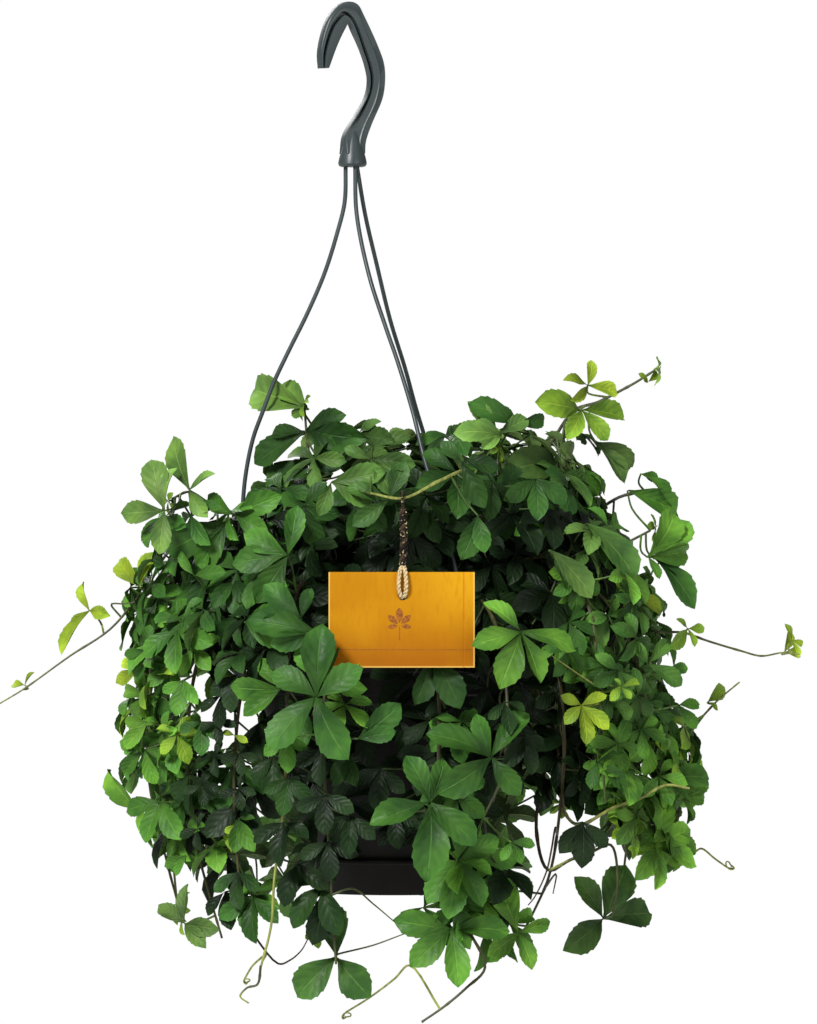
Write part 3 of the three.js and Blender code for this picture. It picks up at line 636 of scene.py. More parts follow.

# Colours of the other leaves by where they are seen: x, z box and the two colours they lie between.
# The dark boxes are painted shade where the foliage stands in shadow, the bright ones painted light
# where it is lit, over the leaves' own tones
MOODS = [
    ((-100, -470, -30, -432), DARK, DEEP),
    ((-120, -530, -56, -470), mixed(MIDDLE, BRIGHT, 0.5), DEEP),
    ((-90, -350, -58, -316), DEEP, mixed(DARK, DEEP, 0.5)),
    ((28, -290, 60, -250), DEEP, DARK),
    ((-72, -386, -42, -336), DARK, mixed(DARK, DEEP, 0.5)),
    ((-122, -325, -28, -245), MIDDLE, DEEP),
    ((-28, -290, 60, -240), mixed(OLIVE, DEEP, 0.4), DEEP),
    ((86, -325, 152, -245), OLIVE, DEEP),
    ((150, -412, 215, -330), mixed(MIDDLE, OLIVE, 0.3), DEEP),
    ((128, -468, 215, -412), mixed(BRIGHT, MIDDLE, 0.35), DEEP),
    ((128, -500, 215, -468), mixed(BRIGHT, YOUNG, 0.3), DEEP),
    ((66, -580, 120, -485), BRIGHT, MIDDLE),
    ((20, -580, 66, -485), MIDDLE, DEEP),
]

# Further leaves that show: heart, tips, colour and, for some, how much nearer than the dome. DARK
# and
# SHADED leaves stand for leaves in shadow: painted shade
SHOWN_LEAVES = [
    # below the tag and round the pot
    ((-15, -436), [(-32, -446), (-16, -458), (-2, -444)], DARK, 16),
    ((-14, -464), [(-31, -472), (-14, -487), (3, -474)], DARK, 16),
    ((-12, -492), [(-28, -502), (6, -500), (-10, -514)], DARK, 14),
    ((-38, -480), [(-56, -492), (-40, -506), (-24, -490)], DARK, 12),
    ((20, -448), [(4, -456), (18, -474), (34, -462)], DARK, 14),
    ((2, -476), [(-14, -484), (0, -500), (16, -490)], DARK, 14),
    ((28, -474), [(14, -484), (30, -496), (42, -482)], DARK, 10),
    ((-37, -428), [(-50, -440), (-36, -450), (-24, -436)], MIDDLE, 16),
    ((-36, -454), [(-22, -466), (-40, -476), (-50, -462)], SHADED, 14),
    ((94, -408), [(84, -418), (97, -427), (106, -414)], SHADED, 4),
    ((-14, -521), [(-30, -530), (-21, -553), (-7, -541)], DARK),
    ((-66, -510), [(-80, -522), (-64, -532), (-52, -520)], SHADED),
    ((-74, -522), [(-84, -536), (-70, -544), (-60, -532)], DARK),
    ((6, -430), [(31, -410), (28, -426)], DEEP),
    ((0, -437), [(-7, -458), (5, -458)], SHADED),
    ((-14, -396), [(-30, -374), (-8, -370), (7, -383), (11, -400)], MIDDLE),
    ((-40, -400), [(-70, -399), (-62, -416), (-52, -383)], MIDDLE),
    (
        (66, -503), [(70, -474), (90, -490), (60, -537), (80, -530), (48, -528)],
        mixed(MIDDLE, DEEP, 0.5),
    ),
    ((98, -492), [(112, -494), (104, -505), (92, -503)], MIDDLE),
    ((141, -480), [(127, -498), (140, -507), (155, -495)], DARK),
    ((-16, -518), [(-41, -516), (-32, -543), (-5, -547)], SHADED),
    ((-57, -525), [(-77, -538), (-55, -552), (-42, -540)], DEEP),
    ((-30, -505), [(-12, -520), (-38, -530)], DARK),
    # left
    ((-62, -360), [(-38, -352), (-36, -372)], MIDDLE),
    ((-92, -332), [(-73, -330), (-100, -318)], MIDDLE),
    ((-28, -358), [(-50, -338), (-52, -362), (-22, -340)], DEEP),
    ((-18, -366), [(-59, -360), (-46, -373)], DEEP),
    ((-36, -320), [(-62, -307), (-69, -325), (-55, -348), (-31, -291)], mixed(MIDDLE, DEEP, 0.6)),
    ((-126, -388), [(-139, -397), (-136, -384)], YOUNG),
    ((-120, -420), [(-134, -436), (-134, -420)], BRIGHT),
    ((-125, -473), [(-144, -450), (-114, -489)], BRIGHT),
    ((-112, -468), [(-121, -492), (-133, -474), (-100, -490)], MIDDLE),
    ((-97, -500), [(-110, -507), (-103, -512)], MIDDLE),
    ((-68, -428), [(-60, -432), (-75, -426)], YOUNG),
    ((-66, -482), [(-62, -494), (-74, -486)], YOUNG),
    ((-70, -498), [(-64, -480), (-72, -484)], LIME),
    ((-68, -392), [(-56, -404), (-70, -414), (-82, -404)], DARK),
    ((-99, -395), [(-111, -402), (-103, -416), (-90, -409)], MIDDLE, 6),
    ((-88, -420), [(-101, -426), (-88, -440), (-76, -430)], DEEP),
    ((-76, -404), [(-88, -414), (-76, -424), (-66, -414)], DARK),
    # top left
    ((-24, -232), [(-57, -220), (-41, -218), (-34, -236)], mixed(OLIVE, BRIGHT, 0.4), -100),
    ((-26, -246), [(-56, -265), (-46, -248)], SHADED),
    ((-24, -246), [(12, -250), (-4, -258)], DEEP),
    ((-24, -262), [(-50, -280), (-4, -268), (-30, -284)], SHADED),
    ((-22, -272), [(-51, -291), (-40, -268), (-8, -290)], DEEP),
    ((-68, -296), [(-40, -284), (-84, -284), (-48, -306)], MIDDLE),
    ((-10, -276), [(22, -270), (14, -290), (-18, -296)], mixed(DEEP, OLIVE, 0.3)),
    ((14, -262), [(40, -266), (26, -284), (-2, -256)], mixed(DEEP, OLIVE, 0.4)),
    ((42, -250), [(32, -246), (53, -249)], OLIVE),
    # top right
    ((140, -233), [(166, -237), (156, -251), (131, -251), (112, -228)], LIME),
    ((180, -216), [(185, -209), (174, -211)], YOUNG),
    ((101, -241), [(72, -230), (91, -231), (118, -238)], DEEP),
    ((92, -248), [(64, -247), (76, -240), (80, -256)], mixed(OLIVE, BRIGHT, 0.4)),
    ((126, -264), [(93, -269), (100, -280), (126, -279)], mixed(DEEP, OLIVE, 0.4)),
    ((140, -266), [(154, -284), (131, -291), (147, -270)], mixed(DEEP, OLIVE, 0.3)),
    # right
    ((176, -271), [(194, -291), (186, -274)], MIDDLE),
    ((168, -281), [(198, -294)], MIDDLE),
    ((180, -321), [(196, -294), (205, -300), (204, -317), (187, -334)], mixed(BRIGHT, MIDDLE, 0.5)),
    ((184, -322), [(199, -333), (208, -352)], DEEP),
    ((143, -301), [(172, -334), (154, -326)], mixed(DEEP, OLIVE, 0.2)),
    ((148, -297), [(162, -311)], DARK),
    ((110, -292), [(113, -314), (100, -308)], MIDDLE),
    ((78, -296), [(68, -322), (82, -318)], DEEP),
    ((132, -268), [(152, -283), (146, -298), (130, -290)], MIDDLE),
    ((121, -317), [(146, -345), (130, -340)], mixed(OLIVE, DEEP, 0.5)),
    ((192, -388), [(200, -398), (204, -388)], MIDDLE),
    ((198, -410), [(209, -424), (211, -410)], MIDDLE),
    ((164, -399), [(175, -397), (170, -406), (157, -407), (160, -394)], LIME, 16),
    ((204, -364), [(192, -375), (214, -364), (197, -358), (208, -375)], LIME),
    ((266, -371), [(262, -361), (270, -382), (273, -374)], YOUNG),
    ((216, -408), [(226, -399), (222, -413)], LIME),
    ((-194, -398), [(-188, -390), (-202, -398)], YOUNG),
    ((200, -466), [(215, -455), (207, -478), (214, -466)], mixed(BRIGHT, MIDDLE, 0.5)),
]

# Stems whose ends are young and green, and the share of the stem at which that begins
GREEN_FROM = {"vine_low_right": 0.48, "vine_tag": 0.35, "vine_front_left": 0.55}

# Boxes where the foliage lets nothing through, and how many more leaves grow there
THICKETS = [((142, -500, 206, -385), 90), ((-138, -470, -100, -340), 30)]

# Small leaves, painted dark as shade against the gaps at the left
DARK_SPOTS = [(-80, -440), (-65, -439), (-88, -458), (-66, -460), (-90, -484), (-78, -420)]

# Thin runs and tendrils: the stem they leave, where they go, their tint, and whether they coil
THIN_RUNS = [
    ("vine_front_centre_left", [(3, -520), (15, -529), (28, -540)], STEM_GREEN, False),
    ("vine_front_centre_left", [(-5, -559), (15, -554), (34, -547)], STEM_GREEN, False),
    ("vine_front_centre", [(37, -566), (28, -574), (12, -586), (-1, -594)], STEM_YOUNG, True),
    ("vine_centre_left", [(-42, -565), (-35, -563), (-28, -557), (-24, -550)], STEM_OLD, False),
    (
        "vine_bottom_right", [(124, -485), (122, -497), (119, -510), (112, -525), (108, -530)],
        STEM_OLD, False,
    ),
    ("vine_front_right", [(149, -398), (138, -391), (122, -380)], STEM_YOUNG, False),
    ("vine_front_right", [(149, -398), (157, -398), (164, -400)], STEM_YOUNG, False),
    ("vine_dark_leaf", [(122, -508), (134, -502), (146, -496), (155, -492)], STEM_YOUNG, False),
    ("vine_bottom_right", [(125, -512), (123, -523)], STEM_OLD, False),
    ("vine_right", [(208, -498), (212, -496), (220, -502), (227, -507)], STEM_YOUNG, True),
    ("vine_front_left", [(-50, -560), (-57, -566), (-62, -574)], STEM_YOUNG, True),
    ("runner_left", [(-142, -350), (-134, -349), (-128, -348)], STEM_GREEN, False),
]

# Outline of the dense foliage as seen from the front
OUTLINE = [
    (-124, -300), (-104, -288), (-62, -288), (-50, -264), (-40, -246), (-14, -238), (6, -231),
    (30, -238), (52, -250), (62, -240), (70, -226), (92, -232), (118, -230), (130, -236),
    (152, -240), (158, -268), (150, -280), (162, -300), (178, -322), (188, -342), (192, -366),
    (200, -384), (206, -412), (208, -436), (214, -456), (204, -486), (212, -506), (190, -520),
    (172, -508), (160, -494), (142, -482), (118, -476), (104, -480), (116, -508), (112, -530),
    (120, -548), (112, -570), (92, -560), (78, -576), (60, -580), (34, -566), (30, -540),
    (38, -524), (38, -512), (0, -512), (4, -545), (-10, -560), (-26, -540), (-44, -536),
    (-54, -562), (-64, -548), (-84, -546), (-84, -520), (-98, -512), (-116, -508), (-124, -492),
    (-136, -478), (-144, -456), (-138, -436), (-136, -410), (-142, -388), (-136, -366),
    (-142, -350), (-128, -330),
]
# Boxes, from corner to corner: where the view goes through, where it goes deep into the foliage,
# and the tag's place, with the y past which a leaf would be in front of it
OPEN_TO_BACK = [
    (-10, -285, 2, -275), (-98, -408, -82, -393), (-83, -425, -73, -411), (-68, -423, -57, -403),
    (-80, -439, -73, -433), (-125, -473, -117, -455), (96, -490, 111, -480), (112, -512, 124, -478),
    (-55, -483, -46, -464), (-75, -524, -69, -512), (-67, -481, -61, -472), (-46, -500, -41, -492),
    (-79, -452, -73, -446), (-62, -446, -56, -438), (-12, -300, -6, -294), (-88, -520, -82, -510),
    (146, -515, 160, -505), (170, -449, 177, -440), (190, -401, 197, -393), (-8, -560, 30, -524),
]
# In the hollows only leaves painted dark as shade may show in front
HOLLOWS = [
    (-38, -524, 40, -440), (100, -478, 140, -396), (-8, -438, 34, -430), (76, -340, 116, -270),
    (-30, -335, 82, -288),
]
TAG_SPACE = (-24, -400, 88, -318)
TAG_SPACE_Y = -105

GAP = 3  # between leaves and the pot
WALL_GAP = 7  # between leaves and the pot's wall
LEAF_STEP = 19  # between the leaves along a stem
BARE_START = 70  # of a stem, without leaves
BARE_RUNNER = 200
CLEARING = 20  # round each leaf that is placed
STEM_REACH = 30  # of the petiole of a leaf that is placed
RUNNER_REACH = 150  # from the pot's axis, with no leaves on a runner past it
TOP_Z = -300  # above it leaves lie on top of the plant
STEM_RADII = [(1.4, 0.7), (0.8, 0.45)]  # of a stem and of the thin run it ends in: foot and tip
KNOT = 1.25  # how much thicker a stem is at every seventh point


def within(x, z, boxes):
    """True if a place is in any of the boxes, each from one corner to the other."""
    return any(x1 < x < x2 and z1 < z < z2 for x1, z1, x2, z2 in boxes)


def shows_well(points, dark):
    """True if a leaf with these points keeps to the outline and to no place that stays open."""
    for point in points:
        x, z = as_seen(point)
        if not inside(OUTLINE, x, z) or within(x, z, OPEN_TO_BACK):
            return False
        if point.y < 0 and not dark and within(x, z, HOLLOWS):
            return False
        if point.y < TAG_SPACE_Y and within(x, z, [TAG_SPACE]):
            return False
    return True


def wall_radius(share):
    """The pot's radius at a share of its height."""
    return POT_FOOT_RADIUS + share * (POT_RADIUS - POT_FOOT_RADIUS)


def in_pot(point):
    """True if a point is in the pot or its saucer, or too near to them."""
    if point.z > RIM_Z + GAP:
        return False
    share = max(0, (point.z - POT_FOOT) / POT_HEIGHT)
    saucer = SAUCER_RADIUS + GAP if share < 0.15 else 0
    return hypot(point.x - AXIS_X, point.y) < max(wall_radius(share) + WALL_GAP, saucer)


def grown_routes():
    """The part's routes for every stem, with the straight start in the soil."""
    routes = {name: [list(run) for run in runs] for name, runs in VINES.items()}
    for i, (turn, crest, reach, low) in enumerate(BACK_VINES):
        stations = [
            (44 + 9 * (i % 2), S), (82, (RIM_Z + crest) / 2 + 12), (120, crest),
            (reach - 8, crest - 45), (reach, (crest + low) / 2 - 20), (reach - 8, low),
        ]
        run = [about((AXIS_X, 0), radius, radians(turn), z) for radius, z in stations]
        routes[f"vine_back_{i + 1}"] = [run]
    for runs in routes.values():
        x, y, z = runs[0][0]
        runs[0][:1] = [(x, y, z - 3), (x, y, z + 8)]
    return routes


def greened(name, share):
    """How far a stem's bark is green rather than brown at a share of its length."""
    if name in GREEN_FROM:
        return max(0, min(0.85, 4 * (share - GREEN_FROM[name])))
    return 0.8 * share ** 3


def leaf_tone(heart, dark):
    """The colour of a leaf by where it grows: darker inside as painted shade, olive on top, more
    often bright at the sides.
    """
    chance = random.Random(f"{heart.x:.0f} {heart.y:.0f} {heart.z:.0f}")
    # Leaves deep inside or in the hollows: painted shade, lighter high up
    if dark:
        lit = DEEP if heart.z > -292 else DARK
        return mixed(scaled(DARK, 0.5), lit, chance.random())
    x, z = as_seen(heart)
    kind = chance.random()
    if kind < 0.05 and z < TOP_Z and not -60 < x < 110:
        return LIME
    moods = [pair for box, *pair in MOODS if heart.y < 0 and within(x, z, [box])]
    if moods:
        return mixed(*moods[0], chance.random())
    if z > TOP_Z:
        return mixed(OLIVE, DEEP, chance.random()) if kind > 0.35 else SHADED
    if kind < (0.5 if x < -70 or x > 110 else 0.3):
        return mixed(BRIGHT, MIDDLE, chance.random())
    return mixed(MIDDLE, DEEP, chance.random())


def jitter(chance, most):
    """A random vector, each part of it at most a value."""
    return Vector([chance.uniform(-most, most) for _ in range(3)])


def ring(name, row, radius, apart):
    """Turns spread unevenly round a ring, each with a chance of its own."""
    count = max(3, round(tau * radius / apart))
    for i in range(count):
        chance = random.Random(f"{name} {row} {i}")
        yield chance, tau * (i + row % 2 / 2 + chance.uniform(-0.3, 0.3)) / count


def in_dome(radius, turn, z):
    """The point at a radius and turn about the dome's middle, which is less deep than wide."""
    return Vector((DOME_X + radius * cos(turn), DOME_DEPTH * radius * sin(turn), z))


def leaflet_tips(heart, down, normal, size, chance):
    """Three to five tips, the middle one pointing down and the outer ones nearer."""
    down = Quaternion(normal, chance.uniform(-0.9, 0.9)) @ down.normalized()
    aside = normal.cross(down)
    count = chance.choice((3, 4, 5, 5, 5))
    spread = radians(chance.uniform(54, 68))
    tips = []
    for i in range(count):
        place = i - (count - 1) / 2
        length = size * (1 - 0.13 * abs(place)) * chance.uniform(0.92, 1.08)
        way = down * cos(place * spread) + aside * sin(place * spread)
        way -= normal * chance.uniform(0.05, 0.4)
        tips.append(heart + way.normalized() * length)
    return tips


class Foliage:
    """The stems with their leaves: one piece for each stem, and one for each leaf of its own."""

    def __init__(self):
        self.paths = {name: [spline(run) for run in runs] for name, runs in grown_routes().items()}
        self.pieces = {name: Piece(name + "_grown") for name in self.paths}
        self.own, self.shown = {}, []
        places = [
            (point, name)
            for name, paths in self.paths.items() for path in paths for point in path[8:]
        ]
        self.stems = kdtree.KDTree(len(places))
        for i, (point, _) in enumerate(places):
            self.stems.insert(point, i)
        self.stems.balance()
        self.owners = [name for _, name in places]

    def nearest(self, point, name=None):
        """The nearest place on a stem: the point, its owner and how far it is."""
        if name is None:
            place, i, distance = self.stems.find(point)
            return place, self.owners[i], distance
        places = [place for path in self.paths[name] for place in path[3:]]
        place = min(places, key=lambda place: (place - point).length)
        return place, name, (place - point).length

    def settled(self, heart, name):
        """The heart, or where it shows just the same but is in reach of a stem."""
        places = [EYE.lerp(heart, 1 + step / 500) for step in range(16)]
        near = [place for place in places if self.nearest(place, name)[2] < STEM_REACH]
        return near[0] if near else min(places, key=lambda place: self.nearest(place, name)[2])

    def grow_stems(self):
        for name, paths in self.paths.items():
            age = random.Random(name).uniform(0, 0.5)
            for order, path in enumerate(paths):
                last = len(path) - 1
                radii = tapered(*STEM_RADII[order], last + 1)
                radii = [r * (KNOT if i % 7 == 3 else 1) for i, r in enumerate(radii)]
                old = mixed(STEM_OLD, STEM_GREEN, 0.8 if order else age)
                young = STEM_YOUNG if name in GREEN_FROM or order else STEM_GREEN
                tints = [mixed(old, young, greened(name, i / last)) for i in range(last + 1)]
                tube(self.pieces[name], path, radii, 6, tints)

    def grow_placed(self, piece, place, heart, normal, tips, foot, tone, width=1):
        self.shown.append(place)
        chance = random.Random(f"{place[0]} {place[1]}")
        leaf(piece, heart, normal, tips, foot, tone, chance, width)

    def grow_own_leaves(self):
        """The part's own leaves, each brought as near to the eye as the part's solid."""
        for name, (place, tips, nearer, tone, width) in OWN_LEAVES.items():
            self.own[name] = Piece(name + "_grown")
            heart = on_dome(*place, nearer)
            normal = facing(heart)
            tips = seen_tips(heart, normal, *place, tips)
            front = min(point.y for point in [heart, *tips])
            move = Vector((0, min(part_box(name)[0].y / MM - front, 0), 0))
            heart, tips = heart + move, [tip + move for tip in tips]
            foot = self.nearest(heart)[0]
            self.grow_placed(self.own[name], place, heart, normal, tips, foot, tone, width)

    def grow_seen(self, place, tips, tone, nearer=0, name=None):
        """Grows a leaf that is seen at a place, on the nearest stem or on the one named."""
        heart = self.settled(on_dome(*place, nearer), name)
        normal = facing(heart)
        foot, owner, _ = self.nearest(heart, name)
        tips = seen_tips(heart, normal, *place, tips)
        self.grow_placed(self.pieces[owner], place, heart, normal, tips, foot, tone)

    def grow_shown_leaves(self):
        for name, heart, tips in JOINED_LEAVES:
            tone = YOUNG if name.startswith("runner") else leaf_tone(on_dome(*heart), False)
            self.grow_seen(heart, tips, SHADED if name == "vine_top_left" else tone, name=name)
        for seen in SHOWN_LEAVES:
            self.grow_seen(*seen)
        for x, z in DARK_SPOTS:
            tips = [(x - 11, z - 5), (x + 2, z - 13), (x + 11, z - 3), (x + 4, z + 9)]
            self.grow_seen((x, z), tips, DARK)

    def grow_thin_runs(self):
        for name, places, tint, coiled in THIN_RUNS:
            path = [on_dome(x, z) for x, z in places]
            start = self.nearest(path[0], name)[0]
            if (start - path[0]).length > 2:
                path.insert(0, start)
            path = spline(path, 5)
            if coiled:
                path += coil(path[-1], (path[-1] - path[-2]).normalized())
            tube(self.pieces[name], path, tapered(0.75, 0.35, len(path)), 5, tint)

    def hang_leaf(
        self, owner, foot, heart, normal, size, chance, dark=False, plain=False, tone=None
    ):
        """Grows a leaf, if it may show there. One with a tone given ends a stem and always may."""
        down = Vector((0, 0, -1)) - normal * -normal.z
        if down.length < 0.2:
            down = heart - foot
            down -= normal * down.dot(normal)
        tips = leaflet_tips(heart, down, normal, size, chance)
        points = [heart, *tips, *(heart.lerp(tip, 0.6) for tip in tips)]
        if (tone or shows_well(points, dark)) and not any(in_pot(point) for point in points):
            tone = tone or leaf_tone(heart, dark)
            leaf(self.pieces[owner], heart, normal, tips, foot, tone, chance, plain=plain)

    def try_leaf(self, heart, normal, size, chance, reach, dark=False, plain=False):
        """Grows a leaf on the nearest stem, if there is one in reach."""
        rise = Vector((0, 0, chance.uniform(6, 24)))
        foot, owner, distance = self.nearest(heart + rise)
        if owner.startswith("runner") and hypot(foot.x - AXIS_X, foot.y) > RUNNER_REACH:
            return
        if 3 < distance < reach:
            self.hang_leaf(owner, foot, heart, normal, size, chance, dark, plain)

    def grow_along(self):
        """Leaves by turns on both sides of each stem, from its crest to its end."""
        for name, paths in self.paths.items():
            path, runs = paths[0], directions(paths[0])
            runner = name == "vine_tag" or name.startswith("runner")
            since, side = -BARE_RUNNER if runner else -BARE_START, 1
            for before, after, run in zip(path, path[1:], runs):
                since += (after - before).length
                if since > LEAF_STEP:
                    since, side = 0, -side
                    self.leaf_beside(name, before, run * side)
            if path[-1].y > -60 and len(paths) == 1:
                self.end_leaf(name, path[-1], runs[-1])

    def leaf_beside(self, name, point, run):
        chance = random.Random(f"{name} {point.x:.0f} {point.z:.0f}")
        away = away_from_axis(point)
        if point.z > TOP_Z:
            away = (away * 0.6 + Vector((0, 0, 1))).normalized()
        aside = run.cross(away).normalized()
        heart = point + away * chance.uniform(5, 11) + aside * chance.uniform(7, 13)
        x, z = as_seen(heart)
        if heart.y < 0 and any(hypot(x - a, z - b) < CLEARING for a, b in self.shown):
            return
        normal = (away + aside * 0.3 + Vector((0, 0, chance.uniform(0.2, 0.7)))).normalized()
        # A leaf in a hollow is painted dark as shade
        dark = heart.y < 0 and within(x, z, HOLLOWS)
        self.hang_leaf(name, point, heart, normal, chance.uniform(20, 29), chance, dark)

    def end_leaf(self, name, end, run):
        chance = random.Random(name + " end")
        size = chance.uniform(10, 15)
        away = away_from_axis(end, 20)
        self.hang_leaf(name, end, end + run * 3, away, size, chance, tone=LIME)

    def grow_shell(self, name, rows, inset, apart, sizes, reach, dark=False):
        """Leaves all round, in rows of (height, radius), each facing out and a little up."""
        for row, (z, radius) in enumerate(rows):
            for chance, turn in ring(name, row, radius, apart):
                out = radius - chance.uniform(*inset)
                heart = in_dome(out, turn, z + chance.uniform(-9, 9))
                tilt = jitter(chance, 0.35)
                normal = Vector((cos(turn), sin(turn), chance.uniform(0.2, 0.9))) + tilt
                size = chance.uniform(*sizes) * (0.8 if heart.x > 120 and not dark else 1)
                self.try_leaf(heart, normal.normalized(), size, chance, reach, dark, dark)

    def grow_sides(self):
        rows = []
        for z in range(-262, -566, -18):
            up = (z - DOME_Z) / DOME_HEIGHT
            rows.append((z, DOME_RADIUS * (1 - up * up) ** 0.25))
        self.grow_shell("side", rows, (4, 28), 20, (22, 32), 36)

    def grow_inside(self):
        # Leaves deep inside and at the core: painted dark as shade, with plain leaflets
        rows = [(z, 120 if z > -400 else 128) for z in range(-275, -530, -20)]
        self.grow_shell("inside", rows, (-16, 16), 20, (24, 33), 48, True)
        rows = [(z, radius) for z in range(-285, -380, -22) for radius in (95, 62, 32)]
        self.grow_shell("core", rows, (-12, 12), 24, (24, 33), 66, True)

    def grow_thickets(self):
        for (x1, z1, x2, z2), count in THICKETS:
            for i in range(count):
                chance = random.Random(f"thicket {x1} {i}")
                x, z = chance.uniform(x1, x2), chance.uniform(z1, z2)
                heart = on_dome(x, z, -chance.uniform(-6, 50))
                normal = (facing(heart) + jitter(chance, 0.4)).normalized()
                self.try_leaf(heart, normal, chance.uniform(17, 25), chance, 40)

    def grow_top(self):
        """Leaves that lie on the dome, lower at its edge and at the left, and more below them."""
        for row, radius in enumerate(range(8, 160, 23)):
            for chance, turn in ring("top", row, radius, 28):
                left = min(max((-in_dome(radius, turn, 0).x - 10) / 60, 0), 1)
                low = 45 * left + 42 * (radius / 150) ** 2.5
                heart = in_dome(radius, turn, -250 - low + chance.uniform(-20, 12))
                lean = radius / 110
                normal = Vector((cos(turn) * lean, sin(turn) * lean - 0.3, 1))
                normal = (normal + jitter(chance, 0.55)).normalized()
                self.try_leaf(heart, normal, chance.uniform(24, 35), chance, 50)
        for row, radius in enumerate(range(10, 110, 23)):
            for chance, turn in ring("crown", row, radius, 27):
                heart = in_dome(radius, turn, chance.uniform(-318, -292))
                lean = [chance.uniform(-0.4, 0.4) for _ in range(2)]
                normal = Vector((*lean, 1)).normalized()
                self.try_leaf(heart, normal, chance.uniform(25, 35), chance, 60, plain=True)

    def make(self, materials):
        for pieces, slot in ((self.pieces, "vine"), (self.own, "leaf")):
            for name, piece in pieces.items():
                piece.stand_for(name, slot, materials)


def coil(start, run, turns=1.6, radius=3.6, steps=24):
    """The loose coil at a tendril's end."""
    side = run.cross(Vector((0, 1, 0))).normalized()
    path = []
    for step in range(1, steps + 1):
        share = step / steps
        angle = tau * turns * share
        size = radius * (1 - 0.5 * share) * (0.85 + 0.25 * sin(1.7 * angle))
        ahead = run * (size * sin(angle) + 2.6 * share)
        aside = side * (0.7 * size * (1 - cos(angle)))
        path.append(start + ahead + aside + Vector((0, -3 * share, 0)))
    return path


# Hanger: the hook is a channelled blade between two outlines, as x, z in its own plane
HOOK_OUTER = [
    (-18.9, -28.2), (-19.5, -18), (-14.5, 0), (-6.5, 10.2), (0, 12.2), (5.5, 10.6), (9, 5),
    (18.9, -14.4), (22.8, -24.6), (23.5, -34.8), (21.8, -45.6), (14.6, -61), (10, -72), (9, -79),
]
HOOK_INNER = [
    (-13.6, -28), (-8, -14), (-3.4, -5), (0, 0), (3, -6), (8.4, -17), (12, -27),
    (13.4, -34.8), (11.6, -44.4), (4.4, -56.4), (-2.6, -68), (-3.4, -79),
]
# By the share of the way along the hook: the middle of the moulding's recess and its ridge, as
# shares of the way across, and how much of the recess' depth there is
RECESS_RUN = [(0, 0.66), (0.2, 0.64), (0.29, 0.5), (0.36, 0.24), (0.44, 0.13), (1, 0.15)]
RIDGE_RUN = [(0, 0.93), (0.2, 0.92), (0.44, 0.62), (1, 0.68)]
RECESS_DEEP = [(0, 0), (0.02, 1), (0.74, 1), (0.87, 0), (1, 0)]
RECESS_HALF = 0.12
RECESS_DEPTH = 4.2
COLLAR = [
    (AXIS, -87), (6.4, -87), (7.8, -86.6), (8.6, -85.2), (8.4, -83.4), (7.8, -80.8),
    (7.0, -78), (6.0, -74.6), (4.9, -71), (4.0, -68), (3.3, -65.5), (AXIS, -65),
]
STRANDS = {
    "hanger_strand_left": [
        (-1.4, 0.6, -86), (-2, 0.4, -108), (-6.6, 0, -127), (-13.8, 0, -150), (-24, 0, -174),
        (-35.4, 0, -197), (-44.4, 0, -216), (-51.6, 0, -235), (-57, 0, -250), (-61.6, 0, -273),
        (-63.4, 0, -295), (-64.6, 0, -330), (-65, 0, -365),
    ],
    "hanger_strand_front": [
        (4.3, -3, -86), (5.2, -5.5, -115), (12.6, -15, -152), (22.8, -30, -184), (30, -40, -205),
        (39, -54, -235), (45.6, -64, -262), (57, -73, -300), (67.5, -78.5, -342),
        (74.5, -80.5, -370),
    ],
    "hanger_strand_back": [
        (5.3, 4, -86), (10.2, 6, -115), (17.4, 14, -146), (25.2, 27, -178), (34.2, 42, -207),
        (40.8, 53, -231), (48.6, 64, -257), (59, 73, -300), (68, 78.5, -342), (74.5, 80.5, -370),
    ],
}


def evenly(path, count):
    """Points spread evenly along a path."""
    far = lengths(path)
    spread, i = [], 0
    for step in range(count):
        at = far[-1] * step / (count - 1)
        while i < len(path) - 2 and far[i + 1] < at:
            i += 1
        spread.append(path[i].lerp(path[i + 1], (at - far[i]) / (far[i + 1] - far[i])))
    return spread


def between(stations, at):
    """The value at a place, straight between stations of (place, value)."""
    for (one, low), (other, high) in zip(stations, stations[1:]):
        if at <= other:
            return low + (high - low) * (at - one) / (other - one)
    return stations[-1][1]


def hook_section(at):
    """Across the blade, at a share of its length: share from inner to outer edge, and depth."""
    middle, ridge = between(RECESS_RUN, at), between(RIDGE_RUN, at)
    low, high = max(middle - RECESS_HALF, 0.02), middle + RECESS_HALF
    floor = -3.2 + RECESS_DEPTH * between(RECESS_DEEP, at)
    front = [
        (0, -2.7), (low * 0.4, -3.1), (low, -3.2), (low + 0.03, floor), (high - 0.03, floor),
        (high, -3.2), (ridge - 0.05, -3.1), (ridge, -3.5), (min(ridge + 0.05, 0.97), -3.1),
        (0.98, -2.9), (1, -2.2),
    ]
    back = [(1, 2.2), (0.96, 3.0), (0.5, 3.2), (0.03, 3.0), (0, 2.5)]
    swell = 1 + max(0, (at - 0.8) / 0.2) ** 2
    return [(share, depth * swell) for share, depth in front + back]


def make_hook(plastic, rows=90):
    piece = Piece("hanger_hook_moulded")
    outer, inner = [
        evenly(spline([(x, 0, z) for x, z in outline], 8), rows)
        for outline in (HOOK_OUTER, HOOK_INNER)
    ]
    turn = Matrix.Rotation(HOOK_TURN, 3, "Z")
    sections = [
        [
            turn @ (near.lerp(far, share) + Vector((0, depth, 0)))
            for share, depth in hook_section(at)
        ]
        for near, far, at in zip(inner, outer, tapered(0, 1, rows))
    ]
    lofted(piece, sections, capped=True)
    turned(piece, COLLAR, (COLLAR_X, COLLAR_Y), sides=28)
    piece.stand_for("hanger_hook", "hanger_plastic", [plastic], crease=32)


def lug_place(turn):
    return about((AXIS_X, 0), LUG_CENTRE, turn, RIM_Z)


